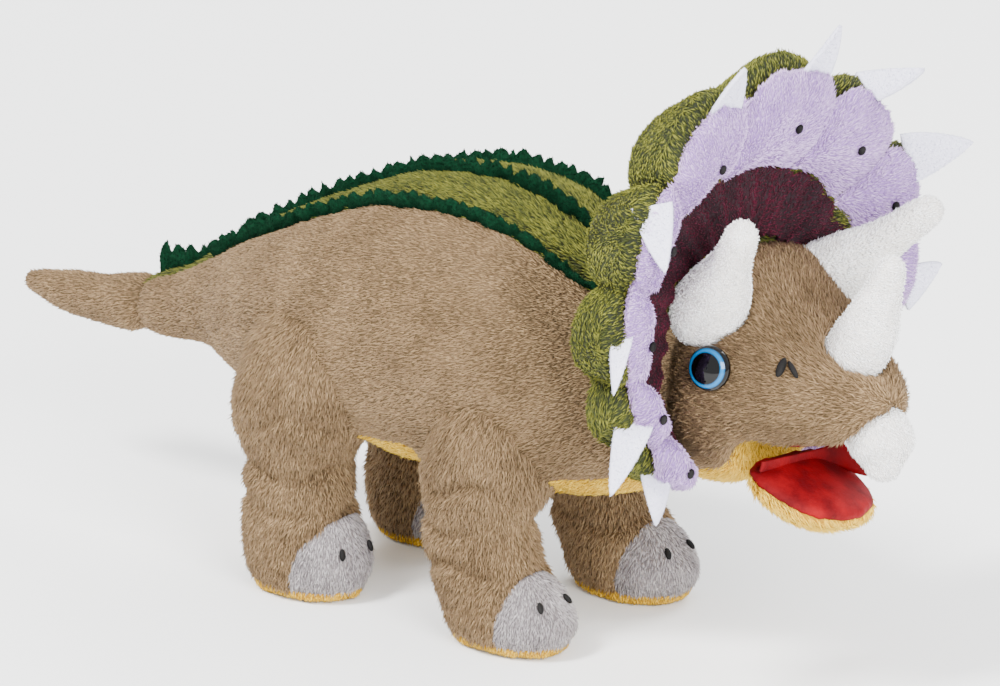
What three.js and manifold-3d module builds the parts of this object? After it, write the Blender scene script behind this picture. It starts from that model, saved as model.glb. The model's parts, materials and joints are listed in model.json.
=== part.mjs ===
// A stuffed triceratops: sewn plush panels over polyester filling, felt trim, safety eyes on posts.
// Millimetres, +Z up. The animal faces +X, its left side is +Y, and z = 0 is the floor under its soles.
import * as THREE from "three";
import { mergeVertices } from "three/addons/utils/BufferGeometryUtils.js";
import Module from "manifold-3d";

const wasm = await Module();
wasm.setup();

// ---------------------------------------------------------------- driving dimensions
const GAP = 0.3; // between two pieces that touch
const PLUSH = 2.6; // plush cloth with its pile
const FELT = 1.3; // felt sheet
const SLACK = 1.5; // the filling keeps this much more from its cover

const BODY_FRONT = 83; // where the torso ends under the neck
const BODY_LENGTH = 205;
const BODY_REAR = BODY_FRONT - BODY_LENGTH; // where the tail starts
const BODY_WIDTH = 90;
const BODY_HEIGHT = 91;
const BELLY_Z = 41;

const TAIL_LENGTH = 43;
const TAIL_BALL = 7.2;

const LEG_Y = 29;
const LEG_SWING = 15; // degrees forward and back
const HIP_ROOM = 0.9; // more than the gap, because the flat-sided hip ball turns in it
const FRONT_LEG = { hipX: 28, hipZ: 61, ball: 19, columnX: 24, footX: 35, footLength: 47, footWidth: 34 };
const HIND_LEG = {
  hipX: BODY_REAR + 84, hipZ: 71, ball: 22, columnX: BODY_REAR + 77, footX: BODY_REAR + 81, footLength: 44, footWidth: 34,
};
const SOLE = 3;
const TOE_BALL = 18.5;

const NECK_X = 76; // centre of the neck ball
const NECK_Z = 87;
const NECK_BALL = 18;
const NECK_NARROW = 12;
const HEAD_ROLL = -8; // degrees: the head is sewn on a little aslant
const HEAD_YAW = 1;
const HEAD_BACK = 90;
const HEAD_LENGTH = 65;
const HEAD_WIDTH = 69;
const HEAD_TOP = 131;
const HEAD_BOTTOM = 58;

const EYE_RADIUS = 6.4;
const EYE_DOME = 3.4;
const HORN_BASE = 12.5;
const HORN_TIP = 5.2;
const NOSE_HORN_BASE = 10;
const NOSE_HORN_TIP = 5;

const JAW_HINGE = [116, 71]; // x, z of the hinge line in the head's frame
const JAW_HUB = 6.5;
const JAW_LENGTH = 31;
const JAW_WIDTH = 44;
const JAW_DROOP = 23; // degrees below level at rest
const JAW_CLOSE = 14; // degrees it can be pushed up

const FRILL_ROOT_X = 92;
const FRILL_RIM_X = 100;
const FRILL_Z = 116;
const FRILL_RADIUS = 66;
const FRILL_LOBE = 8; // how far a lobe bulges past the notches beside it
const FRILL_PAD = 6.5; // thickness of a lobe
const FRILL_BACK = 9.5; // thickness of the padding behind the lobes
const SPIKE_WIDTH = 17;
// Each felt spike, from the right end of the frill over the top to the left end:
// how far it stands past the rim, and how many degrees it leans towards its own end of the frill.
const SPIKES = [
  [14, 22], [15, 30], [15, 36], [15, 32], [16, 2], [15, 6], [18, 26], [19, 14], [12, 12], [12, 14], [12, 0],
];

const LOBE_EDGES = [20, 53, 79, 106, 130, 152]; // degrees from the top, on each side
const TOOTH = 4.6; // pitch of the felt teeth

const COLOURS = {
  taupe: 0xa09078,
  olive: 0x6b7030,
  felt: 0x14452f,
  yellow: 0xe2c23c,
  grey: 0x9a9aa0,
  lavender: 0xc7b2de,
  spike: 0xd9daec,
  maroon: 0x5e0c2a,
  white: 0xeae8e4,
  red: 0xc0101c,
  eye: 0x0a0a0c,
  filling: 0xf4f4f2,
};

// ---------------------------------------------------------------- small helpers
const rad = THREE.MathUtils.degToRad;
const V = (x, y, z) => new THREE.Vector3(x, y, z);
const clamp01 = (t) => Math.min(1, Math.max(0, t));
const smooth = (t) => clamp01(t) ** 2 * (3 - 2 * clamp01(t));

// A smooth curve through rows of [t, a, b, ...], read at t as [a, b, ...].
function table(rows) {
  const columns = rows[0].length - 1;
  return (t) => {
    const last = rows.length - 1;
    if (t <= rows[0][0]) return rows[0].slice(1);
    if (t >= rows[last][0]) return rows[last].slice(1);
    const i = rows.findIndex((row) => row[0] > t) - 1;
    const [a, b] = [rows[i], rows[i + 1]];
    const before = rows[Math.max(0, i - 1)];
    const after = rows[Math.min(last, i + 2)];
    const span = b[0] - a[0];
    const s = (t - a[0]) / span;
    const out = [];
    for (let k = 1; k <= columns; k++) {
      const slopeA = ((b[k] - before[k]) / (b[0] - before[0])) * span;
      const slopeB = ((after[k] - a[k]) / (after[0] - a[0])) * span;
      const s2 = s * s;
      const s3 = s2 * s;
      out.push(
        (2 * s3 - 3 * s2 + 1) * a[k] + (s3 - 2 * s2 + s) * slopeA +
          (3 * s2 - 2 * s3) * b[k] + (s3 - s2) * slopeB,
      );
    }
    return out;
  };
}

// A geometry from points and triangles, without normals or uvs.
function geometry(points, faces) {
  const made = new THREE.BufferGeometry();
  const flat = points.flatMap((p) => [p.x, p.y, p.z]);
  made.setAttribute("position", new THREE.Float32BufferAttribute(flat, 3));
  made.setIndex(faces.flat());
  return made;
}

function signedVolume(points, faces) {
  let sum = 0;
  for (const [a, b, c] of faces) sum += points[a].dot(V(0, 0, 0).crossVectors(points[b], points[c]));
  return sum / 6;
}

// Turns every face round if the body is inside out.
function facingOut(points, faces) {
  if (signedVolume(points, faces) < 0) for (const f of faces) [f[1], f[2]] = [f[2], f[1]];
  return geometry(points, faces);
}

// A closed body through rings of equally many points, with a fan over each end.
function loft(rings) {
  const n = rings[0].length;
  const points = rings.flat();
  const faces = [];
  for (let i = 0; i + 1 < rings.length; i++) {
    for (let j = 0; j < n; j++) {
      const [a, b] = [i * n + j, i * n + ((j + 1) % n)];
      faces.push([a, b, b + n], [a, b + n, a + n]);
    }
  }
  const ends = [[0, 1, 0], [(rings.length - 1) * n, rings.length - 2, rings.length - 1]];
  for (const [first, , ring] of ends) {
    const middle = rings[ring].reduce((sum, p) => sum.add(p), V(0, 0, 0)).divideScalar(n);
    const k = points.push(middle) - 1;
    for (let j = 0; j < n; j++) {
      const [a, b] = [first + j, first + ((j + 1) % n)];
      faces.push(first ? [a, b, k] : [b, a, k]);
    }
  }
  return facingOut(points, faces);
}

// A closed slab over a grid of (u, v) in 0..1: near(u, v) is one face and far(u, v) the other.
function slab(nu, nv, near, far) {
  const points = [];
  const faces = [];
  for (const face of [near, far]) {
    for (let i = 0; i <= nu; i++) {
      for (let j = 0; j <= nv; j++) points.push(face(i / nu, j / nv));
    }
  }
  const at = (side, i, j) => side * (nu + 1) * (nv + 1) + i * (nv + 1) + j;
  const quad = (a, b, c, d) => faces.push([a, b, c], [a, c, d]);
  for (let i = 0; i < nu; i++) {
    for (let j = 0; j < nv; j++) {
      quad(at(0, i, j), at(0, i + 1, j), at(0, i + 1, j + 1), at(0, i, j + 1));
      quad(at(1, i, j), at(1, i, j + 1), at(1, i + 1, j + 1), at(1, i + 1, j));
    }
    quad(at(0, i, 0), at(1, i, 0), at(1, i + 1, 0), at(0, i + 1, 0));
    quad(at(0, i, nv), at(0, i + 1, nv), at(1, i + 1, nv), at(1, i, nv));
  }
  for (let j = 0; j < nv; j++) {
    quad(at(0, 0, j), at(0, 0, j + 1), at(1, 0, j + 1), at(1, 0, j));
    quad(at(0, nu, j), at(1, nu, j), at(1, nu, j + 1), at(0, nu, j + 1));
  }
  return facingOut(points, faces);
}

// A round solid along points, each with its radius; both ends are domes.
function horn(path, radii, sides = 10, steps = 5) {
  const curve = new THREE.CatmullRomCurve3(path);
  const rings = [];
  const ring = (centre, along, radius) => {
    const side = V(0, 0, 0).crossVectors(along, V(0.31, 0.83, -0.47)).normalize();
    const up = V(0, 0, 0).crossVectors(side, along).normalize();
    return Array.from({ length: sides }, (_, j) => {
      const t = (2 * Math.PI * j) / sides;
      return centre.clone().addScaledVector(side, radius * Math.cos(t))
        .addScaledVector(up, radius * Math.sin(t));
    });
  };
  const at = (t) => [curve.getPoint(t), curve.getTangent(t)];
  const wide = table(radii);
  const dome = (t, sign) => [68, 34].map((degrees) => {
    const [p, along] = at(t);
    const r = wide(t)[0];
    const centre = p.clone().addScaledVector(along, sign * r * Math.sin(rad(degrees)));
    return ring(centre, along, r * Math.cos(rad(degrees)));
  });
  rings.push(...dome(0, -1));
  for (let i = 0; i <= steps; i++) {
    const [p, along] = at(i / steps);
    rings.push(ring(p, along, wide(i / steps)[0]));
  }
  rings.push(...dome(1, 1).reverse());
  return loft(rings);
}

const ball = (centre, radius, across = 14, down = 9) =>
  new THREE.SphereGeometry(radius, across, down).translate(centre.x, centre.y, centre.z);

// ---------------------------------------------------------------- joining and cutting
function solid(g) {
  const bare = new THREE.BufferGeometry();
  bare.setAttribute("position", g.getAttribute("position").clone());
  if (g.index) bare.setIndex(g.index.clone());
  const merged = mergeVertices(bare, 1e-4);
  return new wasm.Manifold(
    new wasm.Mesh({
      numProp: 3,
      vertProperties: merged.attributes.position.array,
      triVerts: new Uint32Array(merged.index.array),
    }),
  );
}

function backToGeometry(made) {
  const mesh = made.getMesh();
  const out = new THREE.BufferGeometry();
  const count = mesh.vertProperties.length / mesh.numProp;
  const xyz = new Float32Array(count * 3);
  for (let i = 0; i < count; i++) {
    for (let k = 0; k < 3; k++) xyz[i * 3 + k] = mesh.vertProperties[i * mesh.numProp + k];
  }
  out.setAttribute("position", new THREE.BufferAttribute(xyz, 3));
  out.setIndex(new THREE.BufferAttribute(new Uint32Array(mesh.triVerts), 1));
  return out;
}

// The largest body that is left, so that a cut never leaves a loose crumb in a piece.
function largest(made) {
  const bodies = made.decompose();
  return bodies.reduce((best, one) => (one.volume() > best.volume() ? one : best));
}

const cut = (from, ...tools) =>
  backToGeometry(largest(tools.reduce((left, tool) => left.subtract(solid(tool)), solid(from))));
const common = (a, b) => backToGeometry(largest(solid(a).intersect(solid(b))));

// ---------------------------------------------------------------- the object
const group = new THREE.Group();
group.name = "stuffed_triceratops";
const headGroup = new THREE.Group();
headGroup.name = "head";
headGroup.position.set(NECK_X, 0, NECK_Z);
headGroup.rotation.set(rad(HEAD_ROLL), 0, rad(HEAD_YAW), "ZYX");
group.add(headGroup);

function add(name, made, colour, where = group, roughness = 0.95) {
  const look = new THREE.MeshStandardMaterial({ color: COLOURS[colour], roughness, metalness: 0 });
  look.name = name;
  const mesh = new THREE.Mesh(made, look);
  mesh.name = name;
  // The head's pieces are written in the standing animal's coordinates and hang from the neck.
  if (where === headGroup) mesh.position.set(-NECK_X, 0, -NECK_Z);
  where.add(mesh);
  return mesh;
}

const mirrored = (g) => {
  const other = g.clone().applyMatrix4(new THREE.Matrix4().makeScale(1, -1, 1));
  const ix = Array.from(other.index.array);
  for (let i = 0; i < ix.length; i += 3) [ix[i + 1], ix[i + 2]] = [ix[i + 2], ix[i + 1]];
  other.setIndex(ix);
  return other;
};

// ---------------------------------------------------------------- torso
// Rows of [fraction of the length, half width, top, bottom] as fractions of the sizes above.
const torsoRows = table([
  [0, 0.235, 0.365, 0.138],
  [0.05, 0.27, 0.405, 0.142],
  [0.117, 0.335, 0.487, 0.168],
  [0.156, 0.43, 0.555, 0.16],
  [0.23, 0.63, 0.665, 0.098],
  [0.322, 0.85, 0.78, 0.035],
  [0.41, 0.955, 0.875, 0.008],
  [0.507, 1, 0.965, 0],
  [0.634, 1, 1, 0],
  [0.741, 0.96, 0.965, 0],
  [0.824, 0.88, 0.885, 0.012],
  [0.89, 0.77, 0.815, 0.045],
  [0.95, 0.66, 0.77, 0.1],
  [1, 0.58, 0.74, 0.16],
]);
const SQUARE = 2 / 2.25; // how far the section is from an ellipse

function torsoSection(u) {
  const [wide, top, bottom] = torsoRows(u);
  const zt = BELLY_Z + BODY_HEIGHT * top;
  const zb = BELLY_Z + BODY_HEIGHT * bottom;
  return { x: BODY_REAR + BODY_LENGTH * u, w: (BODY_WIDTH / 2) * wide, z: (zt + zb) / 2, h: (zt - zb) / 2 };
}

// A point of the torso's surface: angle 0 is the spine, positive towards the left; inset goes inwards.
function torsoPoint(u, angle, inset) {
  const s = torsoSection(u);
  const [sin, cos] = [Math.sin(angle), Math.cos(angle)];
  return V(
    s.x,
    Math.sign(sin) * Math.abs(sin) ** SQUARE * (s.w - inset),
    s.z + Math.sign(cos) * Math.abs(cos) ** SQUARE * (s.h - inset),
  );
}

// The angle at which the section is y from the midline.
function torsoAngle(u, y) {
  return Math.asin(clamp01(y / torsoSection(u).w) ** (1 / SQUARE));
}

const saddle = table([
  [0, 4.2], [0.1, 6], [0.156, 8.5], [0.23, 13], [0.322, 18.5], [0.507, 22], [0.634, 22.5], [0.824, 20], [1, 16],
]);
const seamGap = FELT / 2 + GAP;
const bellySeam = table([
  [0, 172], [0.1, 164], [0.2, 150], [0.35, 139], [0.6, 134], [0.85, 136], [1, 140],
]);

function torsoPanel(from, to, nu, nv) {
  const angle = (u, v) => from(u) + (to(u) - from(u)) * v;
  return slab(nu, nv, (u, v) => torsoPoint(u, angle(u, v), 0), (u, v) => torsoPoint(u, angle(u, v), PLUSH));
}

const spineEdge = (u) => torsoAngle(u, seamGap);
const saddleLow = (u) => torsoAngle(u, saddle(u)[0] - seamGap);
const sideHigh = (u) => torsoAngle(u, saddle(u)[0] + seamGap);
const bellyEdge = (u) => rad(bellySeam(u)[0]);
const hair = (u) => (GAP * 0.75) / torsoSection(u).w;

const torsoSolid = (inset, sides = 14, steps = 11) =>
  loft(Array.from({ length: steps + 1 }, (_, i) =>
    Array.from({ length: sides }, (_, j) => torsoPoint(i / steps, (2 * Math.PI * j) / sides, inset))));

// ---------------------------------------------------------------- legs
// Rows of [height, half length, half width] as fractions.
// With a lean, each ring is as long as the leg reaches when it swings that far either way.
function legRings(leg, side, grow, lean = 0) {
  const { hipX, hipZ, ball: r, columnX, footX, footLength, footWidth } = leg;
  const rows = table([
    [0, 0.9, 0.9],
    [0.05, 0.97, 0.97],
    [0.13, 1, 1],
    [0.26, 0.93, 0.98],
    [0.4, 0.81, 0.96],
    [0.55, 0.78, 0.97],
    [0.75, 0.84, 1.02],
    [1, 0.8, 1.06],
  ]);
  const centre = table([
    [0, footX],
    [0.14, footX],
    [0.42, columnX],
    [0.65, columnX * 0.8 + hipX * 0.2],
    [1, hipX],
  ]);
  const base = SOLE + GAP;
  const rings = [];
  const steps = 8;
  for (let i = 0; i <= steps; i++) {
    const t = i / steps;
    const z = base + (hipZ - base) * t;
    const [long, wide] = rows(t);
    const blend = smooth((t - 0.55) / 0.45);
    const rx = (footLength / 2) * long * (1 - blend) + r * blend + grow;
    const ry = (footWidth / 2) * wide * (1 - blend) + r * blend + grow;
    const reach = Math.abs(centre(t)[0] - hipX) + rx;
    const spread = lean ? (hipZ - z + reach * Math.sin(lean)) * Math.tan(lean) : 0;
    rings.push([centre(t)[0], z, rx + spread, ry + spread * 0.05]);
  }
  for (const degrees of [25, 50, 74]) {
    const rr = (r + grow) * Math.cos(rad(degrees));
    rings.push([hipX, hipZ + (r + grow) * Math.sin(rad(degrees)), rr, rr]);
  }
  if (grow) rings[0][1] -= grow;
  const sides = 12;
  return rings.map(([cx, z, rx, ry]) => Array.from({ length: sides }, (_, j) => {
    const t = (2 * Math.PI * j) / sides;
    return V(cx + rx * Math.cos(t), side * LEG_Y + ry * Math.sin(t), z);
  }));
}

const legs = [
  ["front_left", FRONT_LEG, 1],
  ["front_right", FRONT_LEG, -1],
  ["hind_left", HIND_LEG, 1],
  ["hind_right", HIND_LEG, -1],
];
// The room that a leg sweeps as it swings about its hip.
const reliefs = legs.map(([, leg, side]) => loft(legRings(leg, side, GAP + HIP_ROOM, rad(LEG_SWING + 1))));

for (const [name, leg, side] of legs) {
  const whole = loft(legRings(leg, side, 0));
  const toeAt = V(leg.footX + leg.footLength * 0.33, side * LEG_Y, SOLE + 5);
  add(`leg_${name}`, cut(whole, ball(toeAt, TOE_BALL + GAP)), "taupe");
  add(`toe_cap_${name}`, common(whole, ball(toeAt, TOE_BALL)), "grey");
  const outline = (z, k) => Array.from({ length: 18 }, (_, j) => {
    const t = (2 * Math.PI * j) / 18;
    return V(
      leg.footX + (leg.footLength / 2) * k * Math.cos(t),
      side * LEG_Y + (leg.footWidth / 2) * k * Math.sin(t),
      z,
    );
  });
  const sole = loft([outline(0, 0.86), outline(SOLE * 0.5, 0.95), outline(SOLE, 0.93)]);
  add(`sole_${name}`, sole, "yellow");
}

// ---------------------------------------------------------------- torso pieces
// Each is cut clear of the legs, the tail and the neck.
const tailBallAt = V(BODY_REAR - 1, 0, torsoSection(0).z);
const tailRoom = ball(tailBallAt, TAIL_BALL + GAP + 0.3, 14, 8);
const neckAt = V(NECK_X, 0, NECK_Z);
const neckRoom = ball(neckAt, NECK_BALL + GAP + 0.4, 18, 10);
const neckWay = horn([neckAt, V(NECK_X + 30, 0, NECK_Z)], [[0, NECK_NARROW], [1, NECK_NARROW + 13]]);

const sideLeft = torsoPanel(sideHigh, (u) => bellyEdge(u) - hair(u), 14, 5);
const bellyPanel = torsoPanel(
  (u) => bellyEdge(u) + hair(u),
  (u) => 2 * Math.PI - bellyEdge(u) - hair(u),
  14,
  4,
);
const backLeft = torsoPanel(spineEdge, saddleLow, 14, 2);
const tailGap = ball(tailBallAt, TAIL_BALL + GAP, 14, 8);
add("body_left", cut(sideLeft, reliefs[0], reliefs[2], tailGap), "taupe");
add("body_right", cut(mirrored(sideLeft), reliefs[1], reliefs[3], tailGap), "taupe");
add("back_left", cut(backLeft, tailGap), "olive");
add("back_right", cut(mirrored(backLeft), tailGap), "olive");
add("belly", cut(bellyPanel, ...reliefs, tailGap), "yellow");
const bodyCore = torsoSolid(PLUSH + GAP + SLACK);
add("body_filling", cut(bodyCore, ...reliefs, tailRoom, neckRoom, neckWay), "filling");

// Felt strips with saw teeth, sewn into the seams of the saddle.
function feltStrip(angle, from, to, tall) {
  const teeth = Math.round(((to - from) * BODY_LENGTH) / TOOTH);
  const rings = [];
  for (let i = 0; i <= 2 * teeth; i++) {
    const u = from + ((to - from) * i) / (2 * teeth);
    const a = angle(u);
    const foot = torsoPoint(u, a, PLUSH - 0.1);
    const edge = torsoPoint(u, a, 0);
    const out = edge.clone().sub(foot).normalize();
    const across = V(1, 0, 0).cross(out).normalize().multiplyScalar(FELT / 2);
    const crest = edge.clone().addScaledVector(out, i % 2 ? tall(u) : tall(u) * 0.42);
    rings.push([
      foot.clone().add(across),
      foot.clone().sub(across),
      crest.clone().sub(across),
      crest.clone().add(across),
    ]);
  }
  return loft(rings);
}
const teethTall = (u) => 3.8 + 4.5 * smooth(1 - u / 0.1) + 5 * smooth((u - 0.84) / 0.16);
const rowTall = (u) => 3.6 + 2.5 * smooth((u - 0.84) / 0.16);
const leftRow = feltStrip((u) => torsoAngle(u, saddle(u)[0]), 0.13, 0.98, rowTall);
add("spine_felt", feltStrip(() => 0, 0.005, 0.98, teethTall), "felt");
add("row_felt_left", leftRow, "felt");
add("row_felt_right", mirrored(leftRow), "felt");

// ---------------------------------------------------------------- tail
const tailRows = table([
  [0, 10.2, 62.4], [0.15, 9.6, 61.5], [0.33, 8.6, 60.3], [0.6, 7.5, 59.7], [0.85, 6, 59.8], [1, 4.6, 60],
]);
const tailStart = BODY_REAR - 4.5;
function tailRing(t, inset, sides = 12) {
  const [r, z] = tailRows(t);
  return Array.from({ length: sides }, (_, j) => {
    const a = (2 * Math.PI * j) / sides;
    return V(tailStart - TAIL_LENGTH * t, (r - inset) * Math.sin(a), z + (r - inset) * Math.cos(a));
  });
}
const tailTip = (degrees, inset) => {
  const [r, z] = tailRows(1);
  const share = Math.cos(rad(degrees));
  const small = tailRing(1, inset).map((p) => p.clone().sub(V(p.x, 0, z)).multiplyScalar(share));
  const x = tailStart - TAIL_LENGTH - (r - inset) * Math.sin(rad(degrees));
  return small.map((p) => p.add(V(x, 0, z)));
};
function tailSolid(inset) {
  const rings = [];
  for (let i = 0; i <= 7; i++) rings.push(tailRing(i / 7, inset));
  for (const degrees of [40, 72]) rings.push(tailTip(degrees, inset));
  return loft(rings);
}
const tailCore = horn(
  [tailBallAt, V(tailStart - 6, 0, tailRows(0.1)[1]), V(tailStart - TAIL_LENGTH * 0.9, 0, 59.9)],
  [[0, TAIL_BALL], [0.06, TAIL_BALL], [0.2, 5.6], [0.6, 4.4], [1, 2.4]],
);
const tailHole = horn(
  [tailBallAt, V(tailStart - 6, 0, tailRows(0.1)[1]), V(tailStart - TAIL_LENGTH * 0.9, 0, 59.9)],
  [[0, TAIL_BALL + GAP], [0.06, TAIL_BALL + GAP], [0.2, 5.6 + GAP], [0.6, 4.4 + GAP], [1, 2.4 + GAP]],
);
add("tail_cover", cut(tailSolid(0), tailHole), "taupe");
add("tail_filling", tailCore, "filling");

// ---------------------------------------------------------------- head
// Rows of [fraction of the length, half width, top, bottom] as fractions of the sizes above.
const headRows = table([
  [0, 0.8, 0.86, 0],
  [0.1, 0.94, 0.95, 0],
  [0.22, 1, 1, 0.02],
  [0.32, 0.99, 0.93, 0.08],
  [0.42, 0.95, 0.84, 0.165],
  [0.55, 0.83, 0.755, 0.22],
  [0.68, 0.68, 0.69, 0.245],
  [0.8, 0.52, 0.635, 0.265],
  [0.9, 0.37, 0.575, 0.3],
  [0.96, 0.24, 0.53, 0.345],
  [1, 0.08, 0.465, 0.4],
]);
function headSection(u) {
  const [wide, top, bottom] = headRows(u);
  const tall = HEAD_TOP - HEAD_BOTTOM;
  const zt = HEAD_BOTTOM + tall * top;
  const zb = HEAD_BOTTOM + tall * bottom;
  return { x: HEAD_BACK + HEAD_LENGTH * u, w: (HEAD_WIDTH / 2) * wide, z: (zt + zb) / 2, h: (zt - zb) / 2 };
}
// A corner of a section is fuller than an ellipse's by this power.
const squared = (t) => Math.sign(t) * Math.abs(t) ** SQUARE;
function headPoint(u, angle, inset) {
  const s = headSection(u);
  const [sin, cos] = [Math.sin(angle), Math.cos(angle)];
  const [w, h] = [Math.max(0.4, s.w - inset), Math.max(0.4, s.h - inset)];
  return V(s.x, squared(sin) * w, s.z + squared(cos) * h);
}
const headSolid = (inset, reach = 1, sides = 16, steps = 9) =>
  loft(Array.from({ length: steps + 1 }, (_, i) =>
    Array.from({ length: sides }, (_, j) =>
      headPoint((reach * i) / steps, (2 * Math.PI * j) / sides, inset))));

const lip = table([[0, 148], [0.25, 148], [0.4, 150], [0.55, 152], [0.8, 149], [1, 146]]);
const headHair = (u) => (GAP * 0.75) / Math.max(4, headSection(u).w);
function headPanel(from, to, u0, u1, nu, nv) {
  const run = (u) => u0 + (u1 - u0) * u;
  const angle = (u, v) => from(run(u)) + (to(run(u)) - from(run(u))) * v;
  const face = (inset) => (u, v) => headPoint(run(u), angle(u, v), inset);
  return slab(nu, nv, face(0), face(PLUSH));
}
const lipEdge = (u) => rad(lip(u)[0]);
const cheek = headPanel((u) => headHair(u), (u) => lipEdge(u) - headHair(u), 0, 0.985, 12, 7);
const below = (u0, u1, nu) =>
  headPanel((u) => lipEdge(u) + headHair(u), (u) => 2 * Math.PI - lipEdge(u) - headHair(u), u0, u1, nu, 5);

// The jaw hangs from a hinge line across the corners of the mouth.
const [jawX, jawZ] = JAW_HINGE;
function jawBody(inset, top, bottom) {
  const rows = table([
    [0, 0.86, 0, -0.62], [0.2, 1, 0.1, -0.9], [0.45, 0.98, 0.05, -1], [0.7, 0.86, 0.04, -0.98],
    [0.88, 0.64, 0.02, -0.85], [0.97, 0.38, 0, -0.66], [1, 0.18, -0.1, -0.5],
  ]);
  const droop = rad(JAW_DROOP);
  return loft(Array.from({ length: 9 }, (_, i) => {
    const t = i / 8;
    const [wide, up, down] = rows(t);
    const long = t * (JAW_LENGTH - inset) + (i ? 0 : inset);
    const hi = up * JAW_HUB * 1.5 + top;
    const lo = down * JAW_HUB * 1.75 - bottom + inset;
    return Array.from({ length: 14 }, (_, j) => {
      const a = (2 * Math.PI * j) / 14;
      const sin = Math.sign(Math.sin(a)) * Math.abs(Math.sin(a)) ** 0.8;
      const cos = Math.sign(Math.cos(a)) * Math.abs(Math.cos(a)) ** 0.75;
      const n = (hi + lo) / 2 + ((hi - lo) / 2) * cos;
      return V(
        jawX + long * Math.cos(droop) + n * Math.sin(droop),
        ((JAW_WIDTH / 2) * wide - inset) * sin,
        jawZ - long * Math.sin(droop) + n * Math.cos(droop),
      );
    });
  }));
}
const jawRoll = (grow, half) => {
  const drum = new THREE.CylinderGeometry(JAW_HUB + grow, JAW_HUB + grow, 2 * half, 14);
  return drum.translate(jawX, 0, jawZ);
};
const jawWhole = jawBody(0, 0, 0);
const jawRoom = [-JAW_CLOSE, 0].map((degrees) => {
  const turned = jawBody(-GAP - 0.2, 0.3, 0.3);
  turned.translate(-jawX, 0, -jawZ);
  turned.rotateY(rad(degrees));
  return turned.translate(jawX, 0, jawZ);
});
const liningDepth = (grow) => {
  const box = new THREE.BoxGeometry(200, 200, 60).translate(0, 0, 30 - 2.2 - grow);
  box.rotateY(rad(JAW_DROOP));
  return box.translate(jawX, 0, jawZ);
};
add("jaw_cover", cut(jawWhole, liningDepth(GAP)), "yellow", headGroup);
add("jaw_lining", common(jawWhole, liningDepth(0)), "red", headGroup, 0.8);

// Safety eyes: a glossy dome on a post that goes through the cloth into the filling.
function eyeAt(side) {
  const u = 0.32;
  const angle = side * rad(84);
  const p = headPoint(u, angle, 0);
  const du = headPoint(u + 0.02, angle, 0).sub(p);
  const da = headPoint(u, angle + 0.05, 0).sub(p);
  const out = da.cross(du).multiplyScalar(side).normalize();
  if (out.y * side < 0) out.negate();
  return { p, out };
}
function eyeLathe(profile, side) {
  const { p, out } = eyeAt(side);
  const made = new THREE.LatheGeometry(profile.map(([r, y]) => new THREE.Vector2(r, y)), 14);
  made.applyQuaternion(new THREE.Quaternion().setFromUnitVectors(V(0, 1, 0), out));
  return made.translate(p.x, p.y, p.z);
}
const dome = (side) => eyeLathe([
  [0, -PLUSH - 6], [1.8, -PLUSH - 6], [1.8, 0.5], [EYE_RADIUS - 0.6, 0.5], [EYE_RADIUS, 1.1],
  [EYE_RADIUS * 0.93, 1.1 + EYE_DOME * 0.35], [EYE_RADIUS * 0.72, 1.1 + EYE_DOME * 0.68],
  [EYE_RADIUS * 0.4, 1.1 + EYE_DOME * 0.92], [0, 1.1 + EYE_DOME],
], side);
const eyeRoom = (side) => eyeLathe([[0, -PLUSH - 6.4], [2.15, -PLUSH - 6.4], [2.15, 4], [0, 4]], side);
const eyeSeat = (side) => eyeLathe([[0, 0.2], [EYE_RADIUS + 0.5, 0.2], [EYE_RADIUS + 0.5, 5], [0, 5]], side);

// The horns and the beak are stuffed cloth cones whose roots are sewn into the head.
const hornY = HEAD_WIDTH / 2 - 9.5; // clear of the eye on the cheek below
const BROW_HORNS = {
  left: [V(101, hornY, 113), V(114, hornY + 8, 125), V(128, hornY + 18, 139)],
  right: [V(101, -hornY, 113), V(112, -hornY - 9, 126), V(123, -hornY - 17, 142)],
};
const browHorn = (side, grow) => horn(
  BROW_HORNS[side],
  [[0, HORN_BASE], [0.35, HORN_BASE * 0.82], [0.7, HORN_TIP * 1.25], [1, HORN_TIP]]
    .map(([t, r]) => [t, r + grow]),
);
const noseHorn = (grow) => horn(
  [V(136, 0, 103), V(142, 0, 115), V(147, 0, 131)],
  [[0, NOSE_HORN_BASE], [0.4, NOSE_HORN_BASE * 0.95], [0.75, NOSE_HORN_TIP * 1.3], [1, NOSE_HORN_TIP]]
    .map(([t, r]) => [t, r + grow]),
);
const beak = (grow) => horn(
  [V(143.5, 0, 83), V(149.5, 0, 80.5), V(150.5, 0, 74.5)],
  [[0, 8.5 + grow], [0.5, 10.5 + grow], [1, 6.5 + grow]],
);
const rootRooms = [browHorn("left", GAP), browHorn("right", GAP), noseHorn(GAP), beak(GAP)];
const cheekRooms = [...rootRooms, ...jawRoom, jawRoll(GAP + 0.1, JAW_WIDTH / 2 + 1)];
const throatRooms = [...jawRoom, jawRoll(GAP + 0.1, 60)];
const head = (side) => {
  const panel = side > 0 ? cheek : mirrored(cheek);
  return cut(panel, eyeRoom(side), eyeSeat(side), ...cheekRooms);
};
add("head_left", head(1), "taupe", headGroup);
add("head_right", head(-1), "taupe", headGroup);
add("throat", cut(below(0, 0.3, 4), ...throatRooms), "yellow", headGroup);
add("mouth_roof", cut(below(0.31, 0.95, 7), ...rootRooms, ...throatRooms), "red", headGroup, 0.8);
add("beak", beak(0), "white", headGroup);
add("nose_horn", cut(noseHorn(0), beak(GAP)), "white", headGroup);
add("brow_horn_left", browHorn("left", 0), "white", headGroup);
add("brow_horn_right", browHorn("right", 0), "white", headGroup);
add("eye_left", dome(1), "eye", headGroup, 0.08);
add("eye_right", dome(-1), "eye", headGroup, 0.08);

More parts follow.
